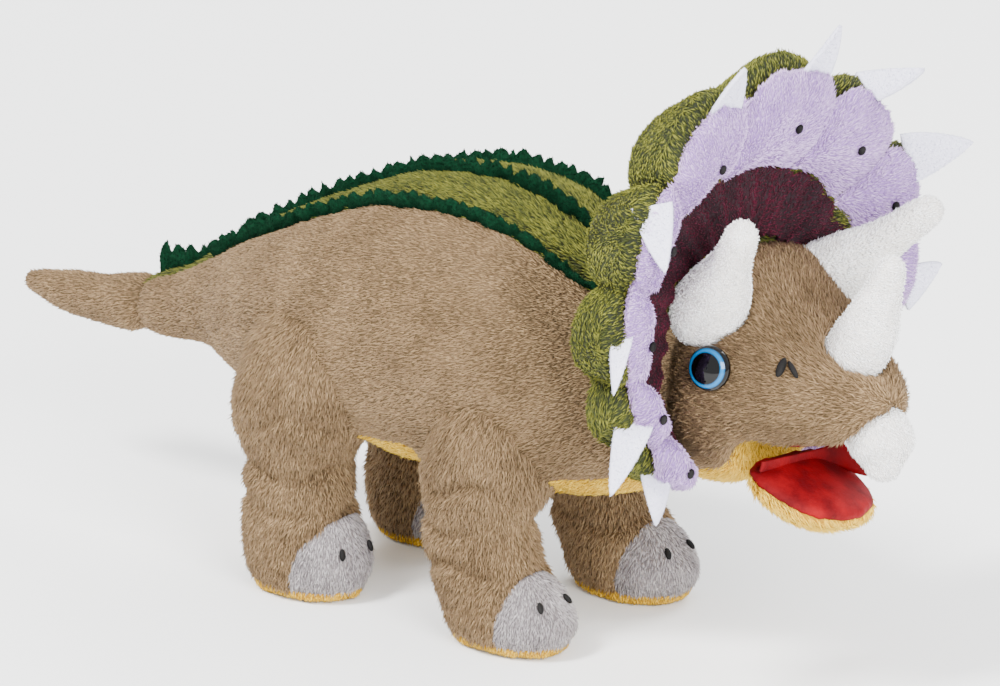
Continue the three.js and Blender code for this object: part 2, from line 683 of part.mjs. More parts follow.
const headCore = headSolid(PLUSH + GAP + SLACK, 0.96);
const neckCore = horn(
  [neckAt, V(NECK_X + 14, 0, NECK_Z + 1), V(HEAD_BACK + 14, 0, NECK_Z + 6)],
  [[0, NECK_BALL], [0.12, NECK_BALL], [0.5, NECK_NARROW + 1], [1, NECK_NARROW + 3]],
  24,
);
const stuffing = solid(headCore).add(solid(neckCore));
const fillingRooms = [eyeRoom(1), eyeRoom(-1), ...rootRooms, ...throatRooms];
add("head_filling", cut(backToGeometry(stuffing), ...fillingRooms), "filling", headGroup);

// ---------------------------------------------------------------- frill
// A cupped ring round the back of the head: its middle sheet runs from the root to the scalloped rim.
const frillEnd = LOBE_EDGES[LOBE_EDGES.length - 1];
function lobeOf(degrees) {
  const a = Math.abs(degrees);
  const i = LOBE_EDGES.findIndex((edge) => a <= edge);
  const k = i < 0 ? LOBE_EDGES.length - 1 : i;
  const low = k ? LOBE_EDGES[k - 1] : -LOBE_EDGES[0];
  return { k, low, high: LOBE_EDGES[k], t: (a - low) / (LOBE_EDGES[k] - low) };
}
const lobeSize = [1, 1, 0.95, 0.9, 0.8, 0.72];
// The rim isn't quite round: it droops a little over the top and to the left, and is drawn in below.
const rimEase = table([
  [-152, 0.9], [-120, 0.93], [-95, 1], [-60, 1.03], [-30, 0.98], [0, 0.9], [35, 0.9], [66, 0.97], [95, 1],
  [120, 0.93], [152, 0.9],
]);
function rimRadius(degrees) {
  const { k, t } = lobeOf(degrees);
  const bulge = Math.sqrt(Math.max(0, 1 - (2 * clamp01(t) - 1) ** 2));
  return FRILL_RADIUS * rimEase(degrees)[0] + FRILL_LOBE * lobeSize[k] * bulge;
}
function frillMid(degrees, s) {
  const a = rad(degrees);
  const root = headSection(clamp01((FRILL_ROOT_X - HEAD_BACK) / HEAD_LENGTH));
  const past = Math.max(0, Math.abs(a) - Math.PI / 2);
  const turned = Math.sign(a) * (Math.min(Math.abs(a), Math.PI / 2) + past * 0.55);
  const [sin, cos] = [Math.sin(turned), Math.cos(turned)];
  const low = smooth((Math.abs(degrees) - 95) / 50);
  const r0 = V(
    FRILL_ROOT_X,
    squared(sin) * (root.w + 2.5),
    root.z + squared(cos) * (root.h + 2.5),
  );
  const out = rimRadius(degrees);
  const side = Math.abs(Math.sin(a));
  const rimX = FRILL_RIM_X + 5 * Math.cos(a) + 4 * side;
  const rim = V(rimX, out * Math.sin(a), FRILL_Z + out * Math.cos(a));
  const share = 0.62 + 0.12 * side;
  const bend = r0.clone().lerp(rim, share).setX(FRILL_ROOT_X + 1 + 8 * low);
  const point = V(0, 0, 0).addScaledVector(r0, (1 - s) ** 2);
  return point.addScaledVector(bend, 2 * s * (1 - s)).addScaledVector(rim, s * s);
}
function frillNormal(degrees, s) {
  const e = 0.01;
  const along = frillMid(degrees, Math.min(1, s + e)).sub(frillMid(degrees, Math.max(0, s - e)));
  const round = frillMid(degrees + 0.5, s).sub(frillMid(degrees - 0.5, s));
  const n = round.cross(along).normalize();
  return n.x < 0 ? n.negate() : n;
}
const frillPoint = (degrees, s, off) => frillMid(degrees, s).addScaledVector(frillNormal(degrees, s), off);
const halfSlot = FELT / 2 + GAP + 0.4;
const puff = (t) => Math.sqrt(Math.max(0, 1 - (2 * t - 1) ** 4)) * 0.85 + 0.15;
const RING = 0.46; // share of the frill's height that the inner panel covers

const backFace = (u, v) => {
  const degrees = -frillEnd + 2 * frillEnd * u;
  const { t } = lobeOf(degrees);
  const thick = FRILL_BACK * puff(0.12 + 0.88 * v) * (0.45 + 0.55 * Math.sin(Math.PI * clamp01(t)) ** 0.5);
  return [degrees, thick];
};
const headRoom = headSolid(-GAP - 0.6, 1, 20, 14);
const frillRooms = [headRoom, rootRooms[0], rootRooms[1]];
const backSlab = slab(
  44,
  3,
  (u, v) => frillPoint(backFace(u, v)[0], v, -halfSlot),
  (u, v) => frillPoint(backFace(u, v)[0], v, -halfSlot - Math.max(0.8, backFace(u, v)[1])),
);
add("frill_back", cut(backSlab, ...frillRooms), "olive", headGroup);
const innerStart = 0.07;
const innerStop = RING - 0.05;
const innerAt = (v) => innerStart + (innerStop - innerStart) * v;
add("frill_inner", cut(slab(38, 2,
  (u, v) => frillPoint(-frillEnd + 2 * frillEnd * u, innerAt(v), halfSlot),
  (u, v) => frillPoint(-frillEnd + 2 * frillEnd * u, innerAt(v), halfSlot + PLUSH * (0.4 + 0.6 * puff(v)))),
...frillRooms), "maroon", headGroup);

const lobeCount = 2 * LOBE_EDGES.length - 1;
for (let i = 0; i < lobeCount; i++) {
  const k = Math.abs(i - (LOBE_EDGES.length - 1));
  const side = Math.sign(i - (LOBE_EDGES.length - 1));
  const low = k ? LOBE_EDGES[k - 1] : -LOBE_EDGES[0];
  const high = LOBE_EDGES[k];
  const gap = k > 3 ? 0.9 : 0.55;
  const degreesAt = (u) => (side || 1) * (low + gap + (high - low - 2 * gap) * u);
  const number = String(i + 1).padStart(2, "0");
  const reach = (v) => RING + (1 - RING) * v;
  const lobe = slab(6, 3,
    (u, v) => frillPoint(degreesAt(u), reach(v), halfSlot),
    (u, v) => frillPoint(degreesAt(u), reach(v), halfSlot + Math.max(0.8, FRILL_PAD * puff(u) * puff(v))));
  add(`frill_lobe_${number}`, k > 2 ? cut(lobe, headRoom) : lobe, "lavender", headGroup);
  const middle = (side || 1) * (low + high) / 2;
  const wide = ((SPIKE_WIDTH / 2) * (0.75 + 0.25 * lobeSize[k])) / (rimRadius(middle) * rad(1));
  const [long, lean] = SPIKES[i];
  const start = frillMid(middle, 0.96);
  const up = frillMid(middle, 1).sub(start).normalize();
  const flat = frillNormal(middle, 0.96);
  const down = V(0, 0, 0).crossVectors(flat, up).multiplyScalar(-(side || 1));
  const spikePoint = (u, v, off) => {
    const narrow = 1 - v ** 1.25 * 0.94;
    const across = (2 * u - 1) * wide * narrow;
    const turn = rad(lean * smooth(v * 1.6));
    const root = frillMid(middle + across, 0.96).sub(start).multiplyScalar(1 - smooth(v * 2));
    const far = v * (long + 3);
    const half = rimRadius(middle) * rad(across) * smooth(v * 2) * (side || 1);
    return start.clone().add(root)
      .addScaledVector(up, far * Math.cos(turn) - half * Math.sin(turn))
      .addScaledVector(down, far * Math.sin(turn) + half * Math.cos(turn))
      .addScaledVector(flat, off);
  };
  add(`frill_spike_${number}`, slab(2, 4,
    (u, v) => spikePoint(u, v, -FELT / 2),
    (u, v) => spikePoint(u, v, FELT / 2)), "spike", headGroup);
}

// The part's origin is on the floor under the middle of the animal's box.
const object = new THREE.Group();
object.name = "stuffed_dinosaur";
object.add(group);
group.updateMatrixWorld(true);
const middle = new THREE.Box3().setFromObject(group, true).getCenter(V(0, 0, 0));
group.position.set(-middle.x, -middle.y, 0);

export default object;
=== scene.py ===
# %% [markdown]
# A stuffed triceratops, finished as plush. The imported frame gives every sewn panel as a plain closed
# solid. Here each of them becomes cloth: a stuffed skin first, and then a pile of short fibres that
# all lie one way, as brushed polyester does. Everything is in metres, in the frame's own place.

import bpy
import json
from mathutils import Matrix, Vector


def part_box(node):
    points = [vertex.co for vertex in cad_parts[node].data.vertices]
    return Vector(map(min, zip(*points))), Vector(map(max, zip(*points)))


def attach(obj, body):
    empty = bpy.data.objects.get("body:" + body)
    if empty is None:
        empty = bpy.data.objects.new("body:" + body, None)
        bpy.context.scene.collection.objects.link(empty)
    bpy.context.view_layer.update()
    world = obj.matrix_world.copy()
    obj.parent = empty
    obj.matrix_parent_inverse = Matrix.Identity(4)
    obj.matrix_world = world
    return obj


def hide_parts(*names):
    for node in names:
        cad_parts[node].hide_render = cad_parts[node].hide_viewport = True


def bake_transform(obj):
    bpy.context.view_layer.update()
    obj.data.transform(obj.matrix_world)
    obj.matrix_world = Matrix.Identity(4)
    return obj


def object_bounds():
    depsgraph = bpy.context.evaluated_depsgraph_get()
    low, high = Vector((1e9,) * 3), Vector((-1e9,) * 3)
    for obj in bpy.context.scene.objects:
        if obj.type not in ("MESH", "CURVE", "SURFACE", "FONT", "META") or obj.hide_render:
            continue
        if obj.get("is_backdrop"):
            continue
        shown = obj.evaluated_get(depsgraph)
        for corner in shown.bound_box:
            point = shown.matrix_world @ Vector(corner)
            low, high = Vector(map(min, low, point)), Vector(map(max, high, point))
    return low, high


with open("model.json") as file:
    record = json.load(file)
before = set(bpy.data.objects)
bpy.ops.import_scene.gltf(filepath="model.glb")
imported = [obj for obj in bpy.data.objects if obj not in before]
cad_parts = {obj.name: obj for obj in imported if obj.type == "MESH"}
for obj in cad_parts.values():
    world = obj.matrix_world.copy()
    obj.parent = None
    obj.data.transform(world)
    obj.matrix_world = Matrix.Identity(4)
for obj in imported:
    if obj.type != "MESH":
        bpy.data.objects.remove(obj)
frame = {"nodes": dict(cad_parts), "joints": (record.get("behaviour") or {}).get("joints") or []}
cad_low, cad_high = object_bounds()
print("frame box", [round(v, 4) for v in cad_low], [round(v, 4) for v in cad_high])

# %% Tools of the trade
import json
import math

import bmesh
import bpy
from mathutils import Matrix, Vector, noise
from mathutils.bvhtree import BVHTree
from mathutils.kdtree import KDTree

MM = 0.001
scene = bpy.context.scene
joints = {joint["name"]: joint for joint in frame["joints"]}


def joint_at(name):
    return Vector(joints[name]["pos_m"])


# %% [markdown]
# The camera stands at the animal's right, a little above its eye line, with a long lens, so that the
# near and the far side keep nearly the same size. The lens is worked out from the width that has to
# fit at that distance.

# %% Camera
VIEW_WIDTH = 0.295
DISTANCE = 7.0
backward = Vector((0.586, -0.737, 0.337)).normalized()
aim = joint_at("hip_front_right") + Vector((-0.0385, 0.05216, 0.00788))
camera_data = bpy.data.cameras.new("camera")
camera_data.sensor_width = 36
camera_data.lens = camera_data.sensor_width * DISTANCE / VIEW_WIDTH
camera_data.clip_end = 20
camera = bpy.data.objects.new("camera", camera_data)
camera.location = aim + DISTANCE * backward
camera.rotation_euler = backward.to_track_quat("Z", "Y").to_euler()
scene.collection.objects.link(camera)
scene.camera = camera
print("lens", round(camera_data.lens), "mm at", DISTANCE, "m")

# %% [markdown]
# A soft studio: a pale floor, one broad lamp above and to the left of the camera, a weaker one at the
# right to open the shadows, one behind for a thin edge of light on the pile, and a pale sky.

# %% Floor and light
bm = bmesh.new()
bmesh.ops.create_grid(bm, x_segments=1, y_segments=1, size=3)
floor_mesh = bpy.data.meshes.new("floor")
bm.to_mesh(floor_mesh)
bm.free()
floor = bpy.data.objects.new("floor", floor_mesh)
scene.collection.objects.link(floor)
floor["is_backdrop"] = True


def lamp(name, place, size, power):
    data = bpy.data.lights.new(name, "AREA")
    data.size = size
    data.energy = power
    made = bpy.data.objects.new(name, data)
    made.location = place
    made.rotation_euler = (Vector(place) - aim).to_track_quat("Z", "Y").to_euler()
    scene.collection.objects.link(made)
    return made


lamp("key", (-0.5, -1.4, 2.0), 0.6, 118)
lamp("fill", (1.6, -0.9, 0.9), 0.9, 80)
lamp("rim", (0.1, 1.6, 1.5), 1.0, 40)
world = bpy.data.worlds.new("studio")
world.use_nodes = True
scene.world = world


# %% [markdown]
# Colours are written as the hex values a printer would use and turned to linear light by one
# function. One more function adds a shader or geometry node with its settings and its links.

# %% Colour and node helpers
def linear(hex_value):
    parts = [int(hex_value[i:i + 2], 16) / 255 for i in (1, 3, 5)]
    return tuple(c / 12.92 if c <= 0.04045 else ((c + 0.055) / 1.055) ** 2.4 for c in parts) + (1.0,)


def add(tree, kind, inputs=None, **settings):
    made = tree.nodes.new(kind)
    for key, value in settings.items():
        setattr(made, key, value)
    for key, value in (inputs or {}).items():
        socket = made.inputs[key]
        if isinstance(value, bpy.types.NodeSocket):
            tree.links.new(value, socket)
        else:
            socket.default_value = value
    return made


world.node_tree.nodes["Background"].inputs["Color"].default_value = linear("#f4f6f8")
world.node_tree.nodes["Background"].inputs["Strength"].default_value = 1.9


def material(name):
    made = bpy.data.materials.new(name)
    made.use_nodes = True
    tree = made.node_tree
    shader = tree.nodes["Principled BSDF"]
    return made, tree, shader


paper, tree, shader = material("matt_paper")
shader.inputs["Base Color"].default_value = linear("#f2f2f1")
shader.inputs["Roughness"].default_value = 0.9
floor.data.materials.append(paper)

# %% [markdown]
# Plush is knitted polyester with cut, brushed fibres. Each fibre is a little glossy along its side,
# so the cloth is pale where the pile leans across the view and dark where one looks down between the
# tips. That shade is painted into the colour, which runs from a dark root shade up to pale tips, and
# the bare skin between the tufts takes the root shade. Broad noise patches paint the lighter and darker
# shading of brushed pile. Every tuft carries two values of its own: how far up it a point is, and a
# tone that differs from tuft to tuft, as dye and light do on real pile.

# %% Plush
def plush(name, root_shade, body, tips, shade_mottle=9 * MM, sheen=0.25):
    made, tree, shader = material(name)
    up = add(tree, "ShaderNodeAttribute", attribute_name="tip").outputs["Fac"]
    tone = add(tree, "ShaderNodeAttribute", attribute_name="tone").outputs["Fac"]
    place = add(tree, "ShaderNodeTexCoord").outputs["Object"]
    # Painted shading: broad noise patches, a mottle wide, lighten and darken the pile as brushed plush looks
    # under light.
    shade_patches = add(tree, "ShaderNodeTexNoise", {"Vector": place, "Scale": 1 / shade_mottle, "Detail": 3.0})
    # Painted shade: a point low on a tuft, and the bare skin between tufts, take the dark root colour; the
    # tips are paler.
    mixed = add(tree, "ShaderNodeMath", {0: tone, 1: 0.45}, operation="MULTIPLY")
    mixed = add(tree, "ShaderNodeMath", {0: up, 1: 0.55, 2: mixed.outputs[0]}, operation="MULTIPLY_ADD")
    mixed = add(tree, "ShaderNodeMath", {0: shade_patches.outputs["Fac"], 1: 0.6, 2: mixed.outputs[0]},
                operation="MULTIPLY_ADD")
    ramp = add(tree, "ShaderNodeValToRGB", {"Fac": mixed.outputs[0]})
    ramp.color_ramp.elements[0].position = 0.28
    ramp.color_ramp.elements[0].color = linear(root_shade)
    ramp.color_ramp.elements[1].position = 1.0
    ramp.color_ramp.elements[1].color = linear(tips)
    middle = ramp.color_ramp.elements.new(0.66)
    middle.color = linear(body)
    tree.links.new(ramp.outputs["Color"], shader.inputs["Base Color"])
    fibres = add(tree, "ShaderNodeTexNoise", {"Vector": place, "Scale": 1 / (0.5 * MM), "Detail": 2.0})
    bump = add(tree, "ShaderNodeBump", {
        "Height": fibres.outputs["Fac"], "Distance": 0.3 * MM, "Strength": 0.5})
    tree.links.new(bump.outputs["Normal"], shader.inputs["Normal"])
    shader.inputs["Roughness"].default_value = 0.75
    shader.inputs["Specular IOR Level"].default_value = 0.25
    shader.inputs["Sheen Weight"].default_value = sheen
    shader.inputs["Sheen Roughness"].default_value = 0.45
    shader.inputs["Sheen Tint"].default_value = linear(tips)
    return made


TAUPE = plush("taupe_plush", "#46361f", "#786045", "#987e5c", shade_mottle=14 * MM, sheen=0.2)
OLIVE = plush("olive_plush", "#151a06", "#383f14", "#74742a", sheen=0.2)
YELLOW = plush("yellow_plush", "#92690d", "#d3a528", "#ecc74f")
GREY = plush("grey_plush", "#625b5c", "#979091", "#b3adac")
LAVENDER = plush("lavender_plush", "#8b6aa6", "#b392c8", "#cbafdb")
WHITE = plush("white_plush", "#d6d1cb", "#f8f5f2", "#ffffff")

# %% [markdown]
# Every stuffed piece starts from the frame's own solids. Copies of them are joined and remeshed into
# one even skin, and the cloth solver blows that skin up a little with its seams pinned down, which is
# what filling does to a sewn cover. How far a point may travel is capped, so the size stays.

# %% Stuffing
def gather(name, sources):
    """One new object from copies of frame solids."""
    bm = bmesh.new()
    for source in sources:
        bm.from_mesh(frame["nodes"][source].data)
    bmesh.ops.remove_doubles(bm, verts=bm.verts, dist=0.001 * MM)
    return place_mesh(name, bm)


def place_mesh(name, bm):
    mesh = bpy.data.meshes.new(name)
    bm.to_mesh(mesh)
    bm.free()
    made = bpy.data.objects.new(name, mesh)
    scene.collection.objects.link(made)
    return made


def settle(obj):
    """Applies the object's modifiers to its mesh."""
    shown = obj.evaluated_get(bpy.context.evaluated_depsgraph_get())
    mesh = bpy.data.meshes.new_from_object(shown)
    old = obj.data
    obj.modifiers.clear()
    obj.data = mesh
    bpy.data.meshes.remove(old)
    return obj


def remesh(obj, voxel):
    step = obj.modifiers.new("even", "REMESH")
    step.mode = "VOXEL"
    step.voxel_size = voxel
    return settle(obj)


def trees_of(nodes):
    found = {}
    for name in nodes:
        mesh = frame["nodes"][name].data
        found[name] = BVHTree.FromPolygons([v.co for v in mesh.vertices], [p.vertices for p in mesh.polygons])
    return found


def owners(mesh, trees, handicap=None):
    """Which frame solid each face lies nearest to; a handicap in metres makes a panel smaller."""
    extra = {name: (handicap or {}).get(name, 0.0) for name in trees}
    return [min(trees, key=lambda name: trees[name].find_nearest(face.center)[3] + extra[name])
            for face in mesh.polygons]


def seam_points(mesh, owner):
    """Vertices whose faces belong to more than one panel."""
    sets = [set() for _ in mesh.vertices]
    for face, name in zip(mesh.polygons, owner):
        for index in face.vertices:
            sets[index].add(name)
    return [i for i, names in enumerate(sets) if len(names) > 1]


def inflate(obj, pinned, pressure=4.0, cap=3 * MM, frames=20):
    rest = [v.co.copy() for v in obj.data.vertices]
    group = obj.vertex_groups.new(name="seams")
    if pinned:
        group.add(pinned, 1.0, "REPLACE")
    cloth = obj.modifiers.new("cloth", "CLOTH")
    cloth.settings.quality = 4
    cloth.settings.mass = 0.15
    cloth.settings.tension_stiffness = 12
    cloth.settings.compression_stiffness = 12
    cloth.settings.bending_stiffness = 0.4
    cloth.settings.use_pressure = True
    cloth.settings.uniform_pressure_force = pressure
    cloth.settings.effector_weights.gravity = 0
    if pinned:
        cloth.settings.vertex_group_mass = "seams"
    cloth.collision_settings.use_collision = False
    for number in range(1, frames + 1):
        scene.frame_set(number)
    settle(obj)
    scene.frame_set(1)
    farthest = 0
    for vertex, start in zip(obj.data.vertices, rest):
        step = vertex.co - start
        if step.length > cap:
            vertex.co = start + step * (cap / step.length)
        farthest = max(farthest, step.length)
    print(f"{obj.name}: pressed out by up to {farthest / MM:.1f} mm, kept to {cap / MM:.1f}")
    return obj


def smoothed(obj, rounds):
    bm = bmesh.new()
    bm.from_mesh(obj.data)
    for _ in range(rounds):
        bmesh.ops.smooth_vert(bm, verts=bm.verts, factor=0.5, use_axis_x=True, use_axis_y=True,
                              use_axis_z=True)
    bm.to_mesh(obj.data)
    bm.free()
    return obj


def finer(obj, levels=1):
    step = obj.modifiers.new("finer", "SUBSURF")
    step.levels = levels
    step.render_levels = levels
    return settle(obj)


def grow(obj, distance):
    normals = [v.normal.copy() for v in obj.data.vertices]
    for vertex, normal in zip(obj.data.vertices, normals):
        vertex.co += normal * distance
    return obj


# %% [markdown]
# Pile is made of real geometry. One tuft is a slim three-sided spike; geometry nodes strew it over a
# skin, lean it along the nap, and give every copy its own length, twist and tone. The nap is a vector
# stored on the skin: the way a hand would stroke that panel smooth.

# %% Pile
def tuft(length, width):
    bm = bmesh.new()
    bmesh.ops.create_cone(bm, cap_ends=True, segments=3, radius1=width, radius2=0, depth=length)
    bmesh.ops.translate(bm, vec=(0, 0, length * 0.42), verts=bm.verts)
    # The tip value, 1 on the upper half of a tuft and 0 at its root, sets the painted shade that darkens the
    # pile towards its root.
    tip = bm.verts.layers.float.new("tip")
    for vertex in bm.verts:
        vertex[tip] = 1.0 if vertex.co.z > length * 0.5 else 0.0
    for face in bm.faces:
        face.smooth = True
    made = place_mesh("tuft", bm)
    made.hide_render = True
    return made


def pile_tree(spike, cloth, density, lift, spread, seed):
    """Geometry nodes that strew tufts over a skin and join them to the cloth below."""
    tree = bpy.data.node_groups.new("pile", "GeometryNodeTree")
    tree.interface.new_socket("Skin", in_out="INPUT", socket_type="NodeSocketGeometry")
    tree.interface.new_socket("Plush", in_out="OUTPUT", socket_type="NodeSocketGeometry")
    skin = add(tree, "NodeGroupInput").outputs[0]
    strewn = add(tree, "GeometryNodeDistributePointsOnFaces", {
        "Mesh": skin, "Density": density, "Seed": seed})
    nap = add(tree, "GeometryNodeInputNamedAttribute", {"Name": "nap"}, data_type="FLOAT_VECTOR")
    stray = add(tree, "FunctionNodeRandomValue", {0: (-1, -1, -1), 1: (1, 1, 1), "Seed": seed + 1},
                data_type="FLOAT_VECTOR")
    raised = add(tree, "ShaderNodeVectorMath", {
        0: strewn.outputs["Normal"], 1: (lift,) * 3, 2: nap.outputs[0]}, operation="MULTIPLY_ADD")
    strayed = add(tree, "ShaderNodeVectorMath", {0: stray.outputs[0], 1: (spread,) * 3, 2: raised.outputs[0]},
                  operation="MULTIPLY_ADD")
    leaning = add(tree, "FunctionNodeAlignRotationToVector", {"Vector": strayed.outputs[0]}, axis="Z")
    size = add(tree, "FunctionNodeRandomValue", {2: 0.65, 3: 1.2, "Seed": seed + 2}, data_type="FLOAT")
    copies = add(tree, "GeometryNodeInstanceOnPoints", {
        "Points": strewn.outputs["Points"],
        "Instance": add(tree, "GeometryNodeObjectInfo", {"Object": spike}).outputs["Geometry"],
        "Rotation": leaning.outputs[0],
        "Scale": size.outputs[1],
    })
    tone = add(tree, "FunctionNodeRandomValue", {2: 0.0, 3: 1.0, "Seed": seed + 3}, data_type="FLOAT")
    toned = add(tree, "GeometryNodeStoreNamedAttribute", {
        "Geometry": copies.outputs[0], "Name": "tone", "Value": tone.outputs[1],
    }, domain="INSTANCE", data_type="FLOAT")
    real = add(tree, "GeometryNodeRealizeInstances", {"Geometry": toned.outputs[0]})
    both = add(tree, "GeometryNodeJoinGeometry")
    tree.links.new(real.outputs[0], both.inputs[0])
    base = add(tree, "GeometryNodeObjectInfo", {"Object": cloth}).outputs["Geometry"]
    tree.links.new(base, both.inputs[0])
    add(tree, "NodeGroupOutput", {0: both.outputs[0]})
    return tree


def solidified(obj, name, thickness):
    """A closed copy of an open skin, as thick as the cloth, growing inwards."""
    made = bpy.data.objects.new(name, obj.data.copy())
    scene.collection.objects.link(made)
    step = made.modifiers.new("cloth", "SOLIDIFY")
    step.thickness = thickness
    step.offset = -1
    return settle(made)


def drop(obj):
    mesh = obj.data
    bpy.data.objects.remove(obj)
    bpy.data.meshes.remove(mesh)


def furred(skin, nap, look, length, width, density, lift, spread, seed, shell=1.2 * MM):
    """Turns a skin into finished plush: cloth with pile on its outer side. Density is tufts per square mm."""
    attribute = skin.data.attributes.new("nap", "FLOAT_VECTOR", "POINT")
    for vertex, item in zip(skin.data.vertices, attribute.data):
        stroke = Vector(nap(vertex.co))
        flat = stroke - vertex.normal * stroke.dot(vertex.normal)
        item.vector = flat.normalized() if flat.length > 1e-9 else vertex.normal
    for face in skin.data.polygons:
        face.use_smooth = True
    if shell:
        cloth = solidified(skin, skin.name + "_cloth", shell)
    else:
        cloth = bpy.data.objects.new(skin.name + "_cloth", skin.data.copy())
        scene.collection.objects.link(cloth)
    spike = tuft(length, width)
    step = skin.modifiers.new("pile", "NODES")
    step.node_group = pile_tree(spike, cloth, density / MM ** 2, lift, spread, seed)
    settle(skin)
    drop(cloth)
    drop(spike)
    skin.data.materials.clear()
    skin.data.materials.append(look)
    skin.data.name = skin.name
    return skin


# %% [markdown]
# The torso, the tail and the four legs are cut from one continuous skin, so that their panels meet
# edge to edge as sewn ones do. The skin is made over the frame's panels and filling, and every face
# then goes to the panel that it lies nearest to. Along each seam the skin is pulled in a little.

# %% Panels out of one skin
def border_smoothed(obj, owner, rounds=3):
    mesh = obj.data
    seam = set(seam_points(mesh, owner))
    around = {i: [] for i in seam}
    for edge in mesh.edges:
        a, b = edge.vertices
        if a in seam and b in seam:
            around[a].append(b)
            around[b].append(a)
    for _ in range(rounds):
        moved = {}
        for i, near in around.items():
            if len(near) > 1:
                middle = sum((mesh.vertices[j].co for j in near), Vector()) / len(near)
                moved[i] = mesh.vertices[i].co.lerp(middle, 0.5)
        for i, place in moved.items():
            mesh.vertices[i].co = place
    return seam


def pull_in(obj, seam, depth, reach):
    mesh = obj.data
    tree = KDTree(len(seam))
    for i in seam:
        tree.insert(mesh.vertices[i].co, i)
    tree.balance()
    normals = [v.normal.copy() for v in mesh.vertices]
    for vertex, normal in zip(mesh.vertices, normals):
        gap = tree.find(vertex.co)[2]
        vertex.co -= normal * depth * math.exp(-((gap / reach) ** 2))


def lumpy(obj, height, size, seed):
    """Filling is never quite even: broad soft lumps of a real size."""
    shift = Vector((seed * 7.1, seed * 3.3, seed * 1.7))
    normals = [v.normal.copy() for v in obj.data.vertices]
    for vertex, normal in zip(obj.data.vertices, normals):
        vertex.co += normal * height * noise.noise(vertex.co / size + shift)
    return obj


def panel_skins(obj, owner, names):
    made = {}
    for name in names:
        bm = bmesh.new()
        bm.from_mesh(obj.data)
        bm.faces.ensure_lookup_table()
        others = [face for face, who in zip(bm.faces, owner) if who != name]
        bmesh.ops.delete(bm, geom=others, context="FACES")
        if bm.faces:
            made[name] = place_mesh(name + "_plush", bm)
        else:
            bm.free()
    drop(obj)
    return made


def stuffed(name, sources, panels, voxel, cap, inset=0.6 * MM, seam_depth=1.0 * MM, reach=2.6 * MM,
            lumps=0.4 * MM, seed=1, rounds=2, handicap=None):
    """Skins for these panels, blown up together from copies of these frame solids."""
    whole = gather(name, sources) if not isinstance(sources, bpy.types.Object) else sources
    remesh(whole, voxel)
    smoothed(whole, rounds)
    grow(whole, -inset)
    trees = trees_of(panels)
    inflate(whole, seam_points(whole.data, owners(whole.data, trees, handicap)), cap=cap)
    finer(whole)
    lumpy(whole, lumps, 16 * MM, seed)
    owner = owners(whole.data, trees, handicap)
    seam = border_smoothed(whole, owner)
    if seam:
        pull_in(whole, seam, seam_depth, reach)
    return panel_skins(whole, owner, panels)


# %% Torso, tail and legs
LEGS = ("front_left", "front_right", "hind_left", "hind_right")
TORSO = ("body_left", "body_right", "back_left", "back_right", "belly")
legs = {leg: joint_at(f"hip_{leg}") for leg in LEGS}


def thigh_fillers():
    """The swing room of every leg, filled up to the height of the belly by turned copies of the leg."""
    bm = bmesh.new()
    for leg, hip in legs.items():
        for degrees in (-14, -7, 7, 14):
            before = len(bm.verts)
            bm.from_mesh(frame["nodes"][f"leg_{leg}"].data)
            bm.verts.ensure_lookup_table()
            swing = Matrix.Rotation(math.radians(degrees), 4, "Y")
            turn = Matrix.Translation(hip) @ swing @ Matrix.Translation(-hip)
            bmesh.ops.transform(bm, matrix=turn, verts=bm.verts[before:])
    bmesh.ops.remove_doubles(bm, verts=bm.verts, dist=0.001 * MM)
    geometry = list(bm.verts) + list(bm.edges) + list(bm.faces)
    bmesh.ops.bisect_plane(bm, geom=geometry, plane_co=(0, 0, 50 * MM), plane_no=(0, 0, 1), clear_inner=True)
    bmesh.ops.holes_fill(bm, edges=[edge for edge in bm.edges if edge.is_boundary])
    return place_mesh("thigh_room", bm)


nodes_in = list(TORSO) + ["body_filling", "tail_cover", "tail_filling"]
for leg in LEGS:
    nodes_in += [f"leg_{leg}", f"toe_cap_{leg}", f"sole_{leg}"]
whole = gather("animal", nodes_in)
fillers = thigh_fillers()
bm = bmesh.new()
bm.from_mesh(whole.data)
bm.from_mesh(fillers.data)
bm.to_mesh(whole.data)
bm.free()
drop(fillers)
panels = list(TORSO) + ["tail_cover"]
panels += [f"{kind}_{leg}" for kind in ("leg", "toe_cap", "sole") for leg in LEGS]
skins = stuffed("animal", whole, panels, voxel=3 * MM, cap=2.5 * MM, seed=1)


def wrinkled(skin, heights, depth, wide, wave, seed):
    """Soft folds across a leg where the cloth bunches up over the foot."""
    normals = [v.normal.copy() for v in skin.data.vertices]
    for vertex, normal in zip(skin.data.vertices, normals):
        place = vertex.co
        for number, height in enumerate(heights):
            ring = Vector((place.x, place.y, 0))
            drift = wave * noise.noise(ring / (18 * MM) + Vector((seed, number * 5, 0)))
            fade = 0.5 + 0.9 * noise.noise(place / (14 * MM) + Vector((0, seed, number)))
            off = (place.z - height - drift) / wide
            vertex.co -= normal * depth * max(0.0, fade) * math.exp(-off * off)


for seed, leg in enumerate(LEGS):
    heights = (25 * MM, 37 * MM, 52 * MM) if "front" in leg else (27 * MM, 40 * MM, 56 * MM)
    wrinkled(skins[f"leg_{leg}"], heights, 3.0 * MM, 2.6 * MM, 7 * MM, seed * 3 + 1)
print({name: len(skin.data.polygons) for name, skin in skins.items()})


# %% [markdown]
# One more skin makes the head: two cheeks that meet in a seam over the crown, the throat and the
# roof of the mouth. It is cut flat at the back, where the frill and the neck take over.

# %% Head and jaw skins
HEAD = ("head_left", "head_right", "throat", "mouth_roof")
neck = joint_at("head_turn")
